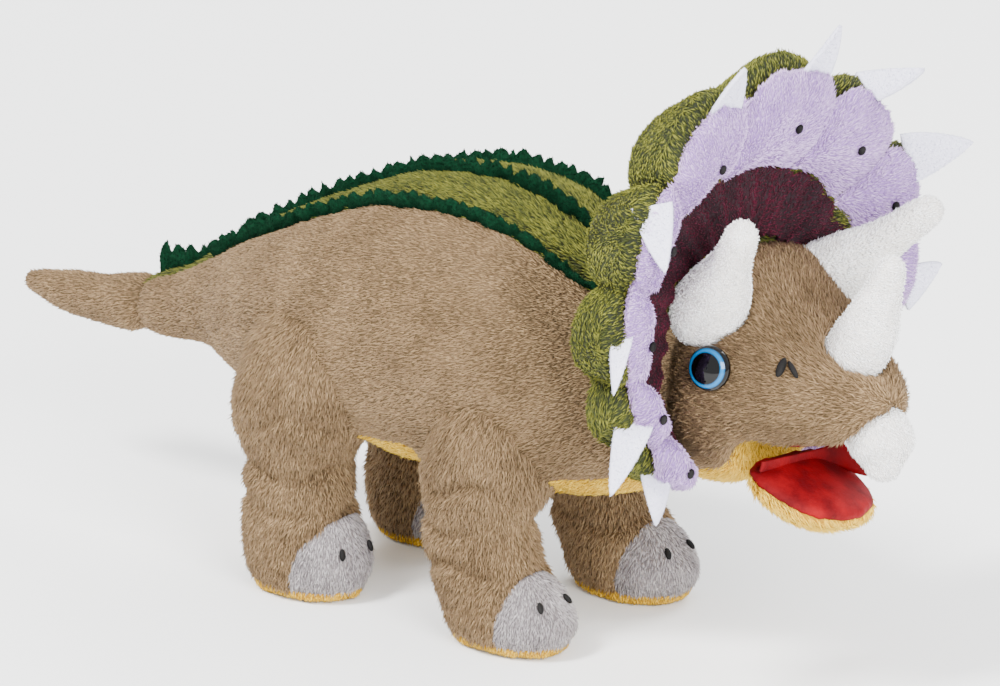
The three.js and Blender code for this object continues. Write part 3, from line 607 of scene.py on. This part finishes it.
# The head is sewn on a little aslant: its own pieces are placed in an upright frame and then turned.
HEAD_ROLL, HEAD_YAW = -8, 1
aslant = (Matrix.Translation(neck) @ Matrix.Rotation(math.radians(HEAD_YAW), 4, "Z")
          @ Matrix.Rotation(math.radians(HEAD_ROLL), 4, "X"))


def in_head(x, y, z):
    """A place given in mm ahead of, left of and above the neck joint, on the upright head."""
    return aslant @ (Vector((x, y, z)) * MM)


whole = gather("skull", list(HEAD) + ["head_filling"])
bm = bmesh.new()
bm.from_mesh(whole.data)
bmesh.ops.bisect_plane(bm, geom=list(bm.verts) + list(bm.edges) + list(bm.faces),
                       plane_co=in_head(14.6, 0, 0), plane_no=aslant.to_3x3() @ Vector((1, 0, 0)),
                       clear_inner=True)
bmesh.ops.holes_fill(bm, edges=[edge for edge in bm.edges if edge.is_boundary])
bm.to_mesh(whole.data)
bm.free()
head_skins = stuffed("skull", whole, HEAD, voxel=2.2 * MM, cap=2 * MM, inset=0.4 * MM, seam_depth=0.7 * MM,
                     reach=1.8 * MM, lumps=0.3 * MM, seed=2, rounds=3, handicap={"mouth_roof": 2.6 * MM})
JAW = ["jaw_cover", "jaw_lining"]
jaw_skins = stuffed("jaw", JAW, JAW, voxel=1.6 * MM, cap=1.5 * MM, inset=0.3 * MM,
                    seam_depth=0.5 * MM, reach=1.5 * MM, lumps=0.2 * MM, seed=3,
                    handicap={"jaw_cover": 1.4 * MM})
print("head faces", {name: len(skin.data.polygons) for name, skin in {**head_skins, **jaw_skins}.items()})

# %% [markdown]
# The horns, the beak and each petal of the frill are small stuffed shapes of their own.

# %% Horns and frill skins
HORNS = ("brow_horn_left", "brow_horn_right", "nose_horn", "beak")
LOBES = [f"frill_lobe_{number:02d}" for number in range(1, 12)]
small = {}
for number, name in enumerate(HORNS):
    small.update(stuffed(name, [name], [name], voxel=1.8 * MM, cap=1 * MM, inset=0.3 * MM, lumps=0.5 * MM,
                         seed=4 + number))
for number, name in enumerate(LOBES):
    small.update(stuffed(name, [name], [name], voxel=1.9 * MM, cap=2 * MM, inset=-0.2 * MM, lumps=0.5 * MM,
                         seed=10 + number, rounds=1))
small.update(stuffed("frill_back", ["frill_back"], ["frill_back"], voxel=2.6 * MM, cap=2 * MM, inset=0,
                     lumps=0.6 * MM, seed=30, rounds=1))
print("small skins", len(small))


# A petal is cut wider than the solid that stands for it, so that it touches the next one and the velour.
frill_centre = in_head(24, 0, 22)
PETAL_LONGER, PETAL_WIDER, PETAL_FULLER = 1.2, 1.17, 1.35
PETAL_INWARD = 1.8 * MM
for name in LOBES:
    skin = small[name]
    middle = sum((v.co for v in skin.data.vertices), Vector()) / len(skin.data.vertices)
    spoke = (middle - frill_centre).normalized()
    around = spoke.cross(Vector((1, 0, 0))).normalized()
    through = spoke.cross(around)
    for vertex in skin.data.vertices:
        step = vertex.co - middle
        vertex.co += spoke * step.dot(spoke) * (PETAL_LONGER - 1) - spoke * PETAL_INWARD
        vertex.co += around * step.dot(around) * (PETAL_WIDER - 1)
        vertex.co += through * step.dot(through) * (PETAL_FULLER - 1)


def surface(skin):
    mesh = skin.data
    return BVHTree.FromPolygons([v.co for v in mesh.vertices], [p.vertices for p in mesh.polygons])


# The back of the frill is quilted: one pad behind each petal, pulled in along the seams between them.
middles = {name: aslant.inverted() @ ((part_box(name)[0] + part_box(name)[1]) / 2) for name in LOBES}
FRILL_MIDDLE = aslant.inverted() @ frill_centre


def bearing(place):
    return math.atan2(place.y - FRILL_MIDDLE.y, place.z - FRILL_MIDDLE.z)


bearings = sorted(bearing(place) for place in middles.values())
skin = small["frill_back"]
normals = [v.normal.copy() for v in skin.data.vertices]
for vertex, normal in zip(skin.data.vertices, normals):
    place = aslant.inverted() @ vertex.co
    here = bearing(place)
    beside = min(range(len(bearings)), key=lambda i: abs(bearings[i] - here))
    gaps = [abs(bearings[i] - bearings[beside]) for i in (beside - 1, beside + 1) if 0 <= i < len(bearings)]
    share = min(1.0, abs(here - bearings[beside]) / (sum(gaps) / len(gaps) / 2))
    height = math.hypot(place.y - FRILL_MIDDLE.y, place.z - FRILL_MIDDLE.z)
    rim = max(0.0, min(1.0, (height - 38 * MM) / (20 * MM)))
    vertex.co += normal * rim * (3.4 * (1 - share ** 3) - 1.8 * share ** 6) * MM


surfaces = {name: surface(skin) for name, skin in {**skins, **head_skins, **jaw_skins, **small}.items()}

# %% [markdown]
# The short brushed pile of the body lies back and down, that of the legs down, that of the face away
# from the nose. The legs and the jaw wear a longer pile. A tuft as thin as a real fibre could not be
# seen, so each one stands for a lock of some twenty fibres, 0.6 mm across.

# %% Pile on the body
BACK = Vector((-1, 0, -0.35))
DOWN = Vector((-0.15, 0, -1))
face_centre = in_head(80, 0, 5)


def from_nose(place):
    return place - face_centre


def outwards(place):
    return place - frill_centre + Vector((0, 0, -0.015))


def dress(skin, node, body, nap, look, slot, **pile):
    furred(skin, nap, look, **pile)
    skin.name = node + "_plush"
    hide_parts(node)
    if body:
        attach(skin, body)
    return skin


SHORT = dict(length=1.9 * MM, width=0.28 * MM, density=2.6, lift=0.25, spread=0.3)
LONG = dict(length=2.7 * MM, width=0.3 * MM, density=2.5, lift=0.38, spread=0.4)
FACE = dict(length=2.6 * MM, width=0.3 * MM, density=2.8, lift=0.3, spread=0.42)
for seed, (name, look, slot) in enumerate((
    ("body_left", TAUPE, "taupe_plush"), ("body_right", TAUPE, "taupe_plush"),
    ("back_left", OLIVE, "olive_plush"), ("back_right", OLIVE, "olive_plush"),
    ("belly", YELLOW, "yellow_plush"),
)):
    kind = dict(SHORT, length=2.6 * MM, width=0.36 * MM) if "back" in name else SHORT
    dress(skins[name], name, "torso", lambda place: BACK, look, slot, seed=seed * 10, **kind)
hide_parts("body_filling", "tail_filling")
tail = dress(skins["tail_cover"], "tail_cover", None, lambda place: BACK, TAUPE, "taupe_plush",
             seed=60, **SHORT)
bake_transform(tail)

# %% [markdown]
# A leg is sewn to the body all round its thigh. Its plush stays where it is made and is kept above the floor.

# %% Pile on the legs
for seed, leg in enumerate(LEGS):
    for kind, look, slot, pile in (
        ("leg", TAUPE, "taupe_plush", LONG),
        ("toe_cap", GREY, "grey_plush", dict(SHORT, length=2.0 * MM)),
        ("sole", YELLOW, "yellow_plush", dict(SHORT, length=1.4 * MM)),
    ):
        node = f"{kind}_{leg}"
        made = dress(skins[node], node, None, lambda place: DOWN, look, slot, seed=100 + 10 * seed, **pile)
        middle = legs[leg]
        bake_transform(made)
        for vertex in made.data.vertices:
            vertex.co.z = max(vertex.co.z, 0.0)

# %% [markdown]
# The red satin that lines the mouth has no pile, only soft patches of shade. The maroon velour behind
# the horns is plush with a very short pile, darker than the rest.

# %% Satin and velour
def smooth_cloth(name, dark, light, thread, sheen, roughness):
    made, tree, shader = material(name)
    place = add(tree, "ShaderNodeTexCoord").outputs["Object"]
    shade_patches = add(tree, "ShaderNodeTexNoise", {"Vector": place, "Scale": 1 / (7 * MM), "Detail": 4.0})
    ramp = add(tree, "ShaderNodeValToRGB", {"Fac": shade_patches.outputs["Fac"]})
    ramp.color_ramp.elements[0].position = 0.35
    ramp.color_ramp.elements[0].color = linear(dark)
    ramp.color_ramp.elements[1].position = 0.7
    ramp.color_ramp.elements[1].color = linear(light)
    tree.links.new(ramp.outputs["Color"], shader.inputs["Base Color"])
    weave = add(tree, "ShaderNodeTexNoise", {"Vector": place, "Scale": 1 / thread, "Detail": 3.0})
    bump = add(tree, "ShaderNodeBump", {
        "Height": weave.outputs["Fac"], "Distance": 0.25 * MM, "Strength": 0.6})
    tree.links.new(bump.outputs["Normal"], shader.inputs["Normal"])
    shader.inputs["Roughness"].default_value = roughness
    shader.inputs["Specular IOR Level"].default_value = 0.12
    shader.inputs["Sheen Weight"].default_value = sheen
    shader.inputs["Sheen Roughness"].default_value = 0.4
    shader.inputs["Sheen Tint"].default_value = linear(light)
    return made


SATIN = smooth_cloth("red_satin", "#520006", "#7c000a", 0.7 * MM, 0.0, 0.7)
MAROON = plush("maroon_velour", "#130108", "#300413", "#520d26", sheen=0.2)
BLACK = smooth_cloth("black_thread", "#0b0a0a", "#1c1a19", 0.4 * MM, 0.2, 0.6)

# %% Pile on the head
for seed, (name, look, slot, pile) in enumerate((
    ("head_left", TAUPE, "taupe_plush", FACE),
    ("head_right", TAUPE, "taupe_plush", FACE),
    ("throat", YELLOW, "yellow_plush", FACE),
)):
    dress(head_skins[name], name, "head", from_nose, look, slot, seed=200 + 10 * seed, **pile)
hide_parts("head_filling")
JAW_PILE = dict(SHORT, length=3.0 * MM, width=0.36 * MM, lift=0.35, spread=0.35)
dress(jaw_skins["jaw_cover"], "jaw_cover", "jaw", lambda place: (0.6, 0, -0.6), YELLOW,
                            "yellow_plush", seed=240, **JAW_PILE)
for number, name in enumerate(HORNS):
    dress(small[name], name, "head", outwards, WHITE, "white_plush",
                         seed=250 + 10 * number, shell=0,
                         length=1.5 * MM, width=0.27 * MM, density=2.6, lift=0.35, spread=0.4)


SATIN_THICKNESS = 1.0 * MM


def bare(skin, node, body, look):
    """A smooth cloth with no pile: the skin as a closed sheet."""
    for face in skin.data.polygons:
        face.use_smooth = True
    step = skin.modifiers.new("cloth", "SOLIDIFY")
    step.thickness = SATIN_THICKNESS
    step.offset = -1
    settle(skin)
    skin.data.materials.clear()
    skin.data.materials.append(look)
    skin.name = node + "_cloth"
    skin.data.name = skin.name
    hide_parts(node)
    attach(skin, body)
    return skin


bare(head_skins["mouth_roof"], "mouth_roof", "head", SATIN)
bare(jaw_skins["jaw_lining"], "jaw_lining", "jaw", SATIN)

# %% [markdown]
# The red lining is one cloth: it folds over at the back of the mouth, and at the left corner it is
# drawn up between lip and jaw. The fold is an arc round the jaw's hinge.

# %% Mouth fold
hinge = joint_at("jaw_hinge")
turn = aslant.to_3x3()
FOLD_LOW, FOLD_HIGH = -26, 4  # degrees round the hinge at the middle of the mouth
FOLD_REACH, CORNER_REACH = 6, 11  # mm from the hinge, and how much more at the left corner
FOLD_RISE = 3.6  # degrees more for each mm more of reach
bm = bmesh.new()
bmesh.ops.create_grid(bm, x_segments=24, y_segments=10, size=1)
for vertex in bm.verts:
    across, up = vertex.co.x, (vertex.co.y + 1) / 2
    drawn = max(0.0, across - 0.25) / 0.75
    reach = FOLD_REACH + CORNER_REACH * drawn * drawn * (3 - 2 * drawn)
    high = FOLD_HIGH + (reach - FOLD_REACH) * FOLD_RISE
    angle = math.radians(FOLD_LOW + (high - FOLD_LOW) * up)
    place = Vector((reach * math.cos(angle), 20.5 * across, reach * math.sin(angle)))
    vertex.co = hinge + turn @ (place * MM)
fold = place_mesh("mouth_fold", bm)
step = fold.modifiers.new("cloth", "SOLIDIFY")
step.thickness = 0.8 * MM
step.offset = 0
settle(fold)
for face in fold.data.polygons:
    face.use_smooth = True
fold.data.materials.append(SATIN)
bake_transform(fold)

# %% Pile on the frill
PETAL = dict(length=1.9 * MM, width=0.3 * MM, density=2.2, lift=0.35, spread=0.35)
for number, name in enumerate(LOBES):
    dress(small[name], name, "head", outwards, LAVENDER, "lavender_plush",
                         seed=300 + 10 * number, shell=0, **PETAL)
dress(small["frill_back"], "frill_back", "head", outwards, OLIVE, "olive_plush",
                             seed=420, shell=0, length=2.1 * MM, width=0.36 * MM, density=1.4,
                             lift=0.3, spread=0.3)
inner = gather("frill_inner", ["frill_inner"])
remesh(inner, 1.3 * MM)
smoothed(inner, 2)
normals = [v.normal.copy() for v in inner.data.vertices]
PLEATS = 30
for vertex, normal in zip(inner.data.vertices, normals):
    spoke = vertex.co - frill_centre
    vertex.co += normal * 0.7 * MM * math.sin(PLEATS * math.atan2(spoke.y, spoke.z))
dress(inner, "frill_inner", "head", outwards, MAROON, "maroon_velour",
                              seed=440, shell=0, length=1.1 * MM, width=0.26 * MM, density=2.0,
                              lift=0.5, spread=0.5)

# %% [markdown]
# Felt is wool or polyester pressed flat. It has no weave and no nap, only stray fibres and a soft
# edge, so the frame's toothed strips are cut finer, waved, and given a fuzz of very short fibres.

# %% Felt
def felt(name, dark, light):
    made, tree, shader = material(name)
    place = add(tree, "ShaderNodeTexCoord").outputs["Object"]
    fibres = add(tree, "ShaderNodeTexNoise", {"Vector": place, "Scale": 1 / (0.8 * MM), "Detail": 6.0,
                                              "Roughness": 0.7, "Distortion": 1.5})
    ramp = add(tree, "ShaderNodeValToRGB", {"Fac": fibres.outputs["Fac"]})
    ramp.color_ramp.elements[0].position = 0.3
    ramp.color_ramp.elements[0].color = linear(dark)
    ramp.color_ramp.elements[1].position = 0.72
    ramp.color_ramp.elements[1].color = linear(light)
    tree.links.new(ramp.outputs["Color"], shader.inputs["Base Color"])
    bump = add(tree, "ShaderNodeBump", {
        "Height": fibres.outputs["Fac"], "Distance": 0.3 * MM, "Strength": 0.8})
    tree.links.new(bump.outputs["Normal"], shader.inputs["Normal"])
    shader.inputs["Roughness"].default_value = 0.95
    shader.inputs["Specular IOR Level"].default_value = 0.05
    return made


GREEN_FELT = felt("dark_green_felt", "#03140a", "#0a3420")
PALE_FELT = felt("pale_lavender_felt", "#c9c8de", "#ecebf7")


def ruffled(node, wave, size, seed):
    """The frame's toothed strip, cut finer and waved as loose felt is; its teeth keep their points."""
    sheet = gather(node, [node])
    bm = bmesh.new()
    bm.from_mesh(sheet.data)
    bmesh.ops.remove_doubles(bm, verts=bm.verts, dist=0.02 * MM)
    bmesh.ops.subdivide_edges(bm, edges=bm.edges, cuts=1, use_grid_fill=True)
    bmesh.ops.recalc_face_normals(bm, faces=bm.faces)
    shift = Vector((seed, seed * 2, seed * 3)) * 1.37
    for vertex in bm.verts:
        at = vertex.co / size + shift
        vertex.co += wave * Vector((noise.noise(at), noise.noise(at + Vector((9, 0, 0))),
                                    0.5 * noise.noise(at + Vector((0, 9, 0)))))
    bm.to_mesh(sheet.data)
    bm.free()
    return sheet


for number, name in enumerate(("spine_felt", "row_felt_left", "row_felt_right")):
    sheet = ruffled(name, 1.8 * MM, 4 * MM, number + 1)
    dress(sheet, name, "torso", lambda place: (-0.4, 0, 1), GREEN_FELT, "green_felt",
                         seed=500 + 10 * number, shell=0, length=0.8 * MM, width=0.2 * MM, density=2.0,
                         lift=1.2, spread=0.8)

# %% [markdown]
# The spikes on the rim are single leaves of felt. Over the top they still stand up; lower down on the
# right they have flopped over and hang. Each is a small grid, narrowed to a point, curled along its
# length, creased a little down the middle and given the thickness of felt.

# %% Felt spikes
# For each, in mm: where it starts from its solid's root, the way it points, its length and width,
# its curl, and the way its flat side faces.
SPIKE_LEAVES = {
    "01": ((0, -5, 4), (8, -6, -14), 15, 8, 3.0, (0.6, -0.8, 0)),
    "02": ((1, -3, 6), (0, -7, -18), 20, 10, 1.0, (0.7, -0.7, 0)),
    "03": ((1, 0, 10), (3, -5, -17), 17, 6, 0.8, (0.7, -0.7, 0)),
    "04": ((2, 5, 13), (7, -2, -16), 17, 11, -1.0, (0.6, -0.8, 0.2)),
    "05": ((1, 1, -3), (8, -5, 15), 17, 12, 1.5, (1, -0.2, 0)),
    "06": ((0, 0, -4), (8, 5, 15), 18, 13, -2.5, (1, 0, 0)),
    "07": ((0, 1, 3), (5, 16, 3), 17, 11, 2.0, (0.5, 0, 1)),
    "08": ((0, 0, 2), (9, 14, 5), 18, 14, 1.5, (1, 0, 0.3)),
    "09": ((0, -1, 2), (3, 14, 8), 13, 13, 1.0, (1, 0, 0)),
    "10": ((0, 0, 2), (-2, 15, -2), 13, 11, 1.0, (1, 0, 0)),
    "11": ((0, 0, 0), (0, 11, -12), 14, 10, 2.0, (1, 0, 0)),
}
LEAF = 1.2 * MM
HIDDEN = 3  # mm of each leaf that is sewn in


def felt_leaf(name, root, ahead, facing, length, width, curl):
    facing = (facing - ahead * facing.dot(ahead)).normalized()
    side = ahead.cross(facing)
    bm = bmesh.new()
    bmesh.ops.create_grid(bm, x_segments=10, y_segments=18, size=0.5)
    for vertex in bm.verts:
        across, along = vertex.co.x * 2, vertex.co.y + 0.5
        half = width / 2 * (1 - along ** 1.5) ** 0.85 + 0.5 * MM * (1 - along)
        bow = curl * along ** 2 + 0.12 * half * across ** 2
        vertex.co = (root + ahead * along * length + side * across * half + facing * bow
                     + side * curl * 0.5 * along ** 2)
    bmesh.ops.remove_doubles(bm, verts=bm.verts, dist=0.12 * MM)
    bmesh.ops.recalc_face_normals(bm, faces=bm.faces)
    made = place_mesh(name, bm)
    step = made.modifiers.new("felt", "SOLIDIFY")
    step.thickness = LEAF
    step.offset = 0
    return settle(made)


for seed, (number, (shift, ahead, length, width, curl, facing)) in enumerate(SPIKE_LEAVES.items()):
    node = f"frill_spike_{number}"
    points = sorted((v.co for v in frame["nodes"][node].data.vertices),
                    key=lambda p: (p - frill_centre).length)
    root = sum(points[:6], Vector()) / 6 + aslant.to_3x3() @ (Vector(shift) * MM)
    direction = (aslant.to_3x3() @ Vector(ahead)).normalized()
    leaf = felt_leaf(node, root, direction, aslant.to_3x3() @ Vector(facing), (length + HIDDEN) * MM,
                     width * MM, curl * MM)
    dress(leaf, node, "head", outwards, PALE_FELT, "pale_felt", seed=540 + 10 * seed, shell=0,
                         length=0.6 * MM, width=0.14 * MM, density=1.5, lift=1.0, spread=0.8)

# %% [markdown]
# The safety eyes are moulded acrylic domes: glossy black plastic with a printed blue iris under the
# surface. A ring value stored on the mesh, 0 in the middle and 1 at the rim, colours pupil and iris.

# %% Eyes
def acrylic():
    made, tree, shader = material("black_acrylic_eye")
    ring = add(tree, "ShaderNodeAttribute", attribute_name="ring").outputs["Fac"]
    ramp = add(tree, "ShaderNodeValToRGB", {"Fac": ring})
    stops = ((0.0, "#010101"), (0.68, "#010101"), (0.71, "#06527f"), (0.79, "#0d6ba3"), (0.86, "#06527f"),
             (0.89, "#020203"))
    for element, (where, tint) in zip(ramp.color_ramp.elements, (stops[0], stops[-1])):
        element.position = where
        element.color = linear(tint)
    for where, tint in stops[1:-1]:
        ramp.color_ramp.elements.new(where).color = linear(tint)
    tree.links.new(ramp.outputs["Color"], shader.inputs["Base Color"])
    shader.inputs["Roughness"].default_value = 0.05
    shader.inputs["IOR"].default_value = 1.36
    return made


ACRYLIC = acrylic()
EYE_RADIUS, EYE_HEIGHT, EYE_PROUD = 6.7 * MM, 3.6 * MM, 0.6 * MM
POST_WIDTH = 4.5 * MM  # the points this near the post's tip are its end
for side in ("left", "right"):
    node = f"eye_{side}"
    points = [v.co for v in frame["nodes"][node].data.vertices]
    centre = sum(points, Vector()) / len(points)
    post = max(points, key=lambda p: (p - centre).length)
    post_end = [p for p in points if (p - post).length < POST_WIDTH]
    post_end = sum(post_end, Vector()) / len(post_end)
    outward = (centre - post_end).normalized()
    crown = max((p - post_end).dot(outward) for p in points)
    bm = bmesh.new()
    bmesh.ops.create_uvsphere(bm, u_segments=48, v_segments=32, radius=EYE_RADIUS)
    bmesh.ops.scale(bm, vec=(1, 1, EYE_HEIGHT / EYE_RADIUS), verts=bm.verts)
    ring = bm.verts.layers.float.new("ring")
    for vertex in bm.verts:
        vertex[ring] = math.hypot(vertex.co.x, vertex.co.y) / EYE_RADIUS
    bmesh.ops.transform(bm, matrix=outward.to_track_quat("Z", "Y").to_matrix().to_4x4(), verts=bm.verts)
    bmesh.ops.translate(bm, vec=post_end + outward * (crown - EYE_HEIGHT + EYE_PROUD), verts=bm.verts)
    for face in bm.faces:
        face.smooth = True
    eye = place_mesh(f"eye_{side}_dome", bm)
    eye.data.materials.append(ACRYLIC)
    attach(eye, "head")
    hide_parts(node)

# %% [markdown]
# Black thread marks the toes, the petals and the nostrils: short satin stitches that stand a little
# proud of the pile. Each is a slim capsule laid on the skin below it.

# %% Stitches
STITCH_PROUD = 1.3 * MM


def stitch(name, tree, start, towards, along, size, body):
    """A stitch where a line from start first meets a skin; size is its half width and half length."""
    spot, normal, _, _ = tree.ray_cast(start, towards)
    if spot is None:
        print("no skin under", name)
        return None
    flat = (along - normal * along.dot(normal)).normalized()
    across = normal.cross(flat)
    turn = Matrix((flat, across, normal)).transposed().to_4x4()
    bm = bmesh.new()
    bmesh.ops.create_uvsphere(bm, u_segments=12, v_segments=8, radius=1.0)
    bmesh.ops.scale(bm, vec=(size[1], size[0], size[0] * 0.8), verts=bm.verts)
    bmesh.ops.transform(bm, matrix=Matrix.Translation(spot + normal * STITCH_PROUD) @ turn, verts=bm.verts)
    for face in bm.faces:
        face.smooth = True
    made = place_mesh(name, bm)
    made.data.materials.append(BLACK)
    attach(made, body)
    return made


for leg in LEGS:
    hip = legs[leg]
    ahead = 25 if "front" in leg else 17
    tree = surfaces[f"toe_cap_{leg}"]
    for number, aside in enumerate((-6.5, 4.2) if "right" in leg else (-5, 5)):
        start = Vector((hip.x, hip.y, 0)) + Vector((ahead + 30, aside, 16)) * MM
        stitch(f"toe_stitch_{leg}_{number + 1}", tree, start, Vector((-1, 0, 0)), Vector((0.2, 0, 1)),
               (1.0 * MM, 1.9 * MM), body=f"leg_{leg}")
for name in LOBES:
    low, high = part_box(name)
    middle = aslant.inverted() @ ((low + high) / 2) / MM
    stitch(name + "_dot", surfaces[name], in_head(80, middle.y, middle.z),
           aslant.to_3x3() @ Vector((-1, 0, 0)), Vector((0, 0.3, 1)), (1.2 * MM, 1.6 * MM), body="head")
# Two strokes meet at the top of a nostril: place ahead and above, lean, half width and half length in mm.
NOSTRIL = ((52.2, 14.2, 0.35, 1.3, 3.2), (55.0, 13.8, -0.85, 0.9, 3.0))
for side, name in ((-1, "right"), (1, "left")):
    tree = surfaces[f"head_{name}"]
    for number, (x, z, lean, width, long) in enumerate(NOSTRIL):
        stitch(f"nostril_{name}_{number + 1}", tree, in_head(x, side * 60, z),
               aslant.to_3x3() @ Vector((0, -side, 0)), aslant.to_3x3() @ Vector((lean, 0, 1)),
               (width * MM, long * MM), body="head")

# %% [markdown]
# A short sleeve of plush joins the torso to the head inside the frill.

# %% Neck sleeve
def ring_of(bm, centre, half_width, half_height, tilt):
    made = bmesh.ops.create_circle(bm, segments=48, radius=1.0)["verts"]
    bmesh.ops.scale(bm, vec=(half_height, half_width, 1), verts=made)
    bmesh.ops.rotate(bm, matrix=Matrix.Rotation(math.radians(90 + tilt), 3, "Y"), verts=made)
    bmesh.ops.translate(bm, vec=centre, verts=made)
    return list({edge for vertex in made for edge in vertex.link_edges})


bm = bmesh.new()
rings = [
    ring_of(bm, neck + Vector((-6, 0, -5.5)) * MM, 24 * MM, 23.5 * MM, 0),
    ring_of(bm, neck + Vector((10, 0, -1)) * MM, 24 * MM, 24 * MM, 0),
    ring_of(bm, in_head(20, 0, 3), 25 * MM, 26 * MM, 0),
]
for first, second in zip(rings, rings[1:]):
    bmesh.ops.bridge_loops(bm, edges=first + second)
bmesh.ops.subdivide_edges(bm, edges=bm.edges, cuts=2, use_grid_fill=True)
bmesh.ops.recalc_face_normals(bm, faces=bm.faces)
sleeve = place_mesh("neck_sleeve", bm)
furred(sleeve, lambda place: BACK, TAUPE, seed=700, **SHORT)
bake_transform(sleeve)

# %% [markdown]
# The finished model is measured against the frame's box.

low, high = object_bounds()
over = [round((c - v) / MM, 1) for c, v in zip(cad_low, low)]
over += [round((v - c) / MM, 1) for c, v in zip(cad_high, high)]
print("the visual model stands proud of the frame box by (mm)", over)
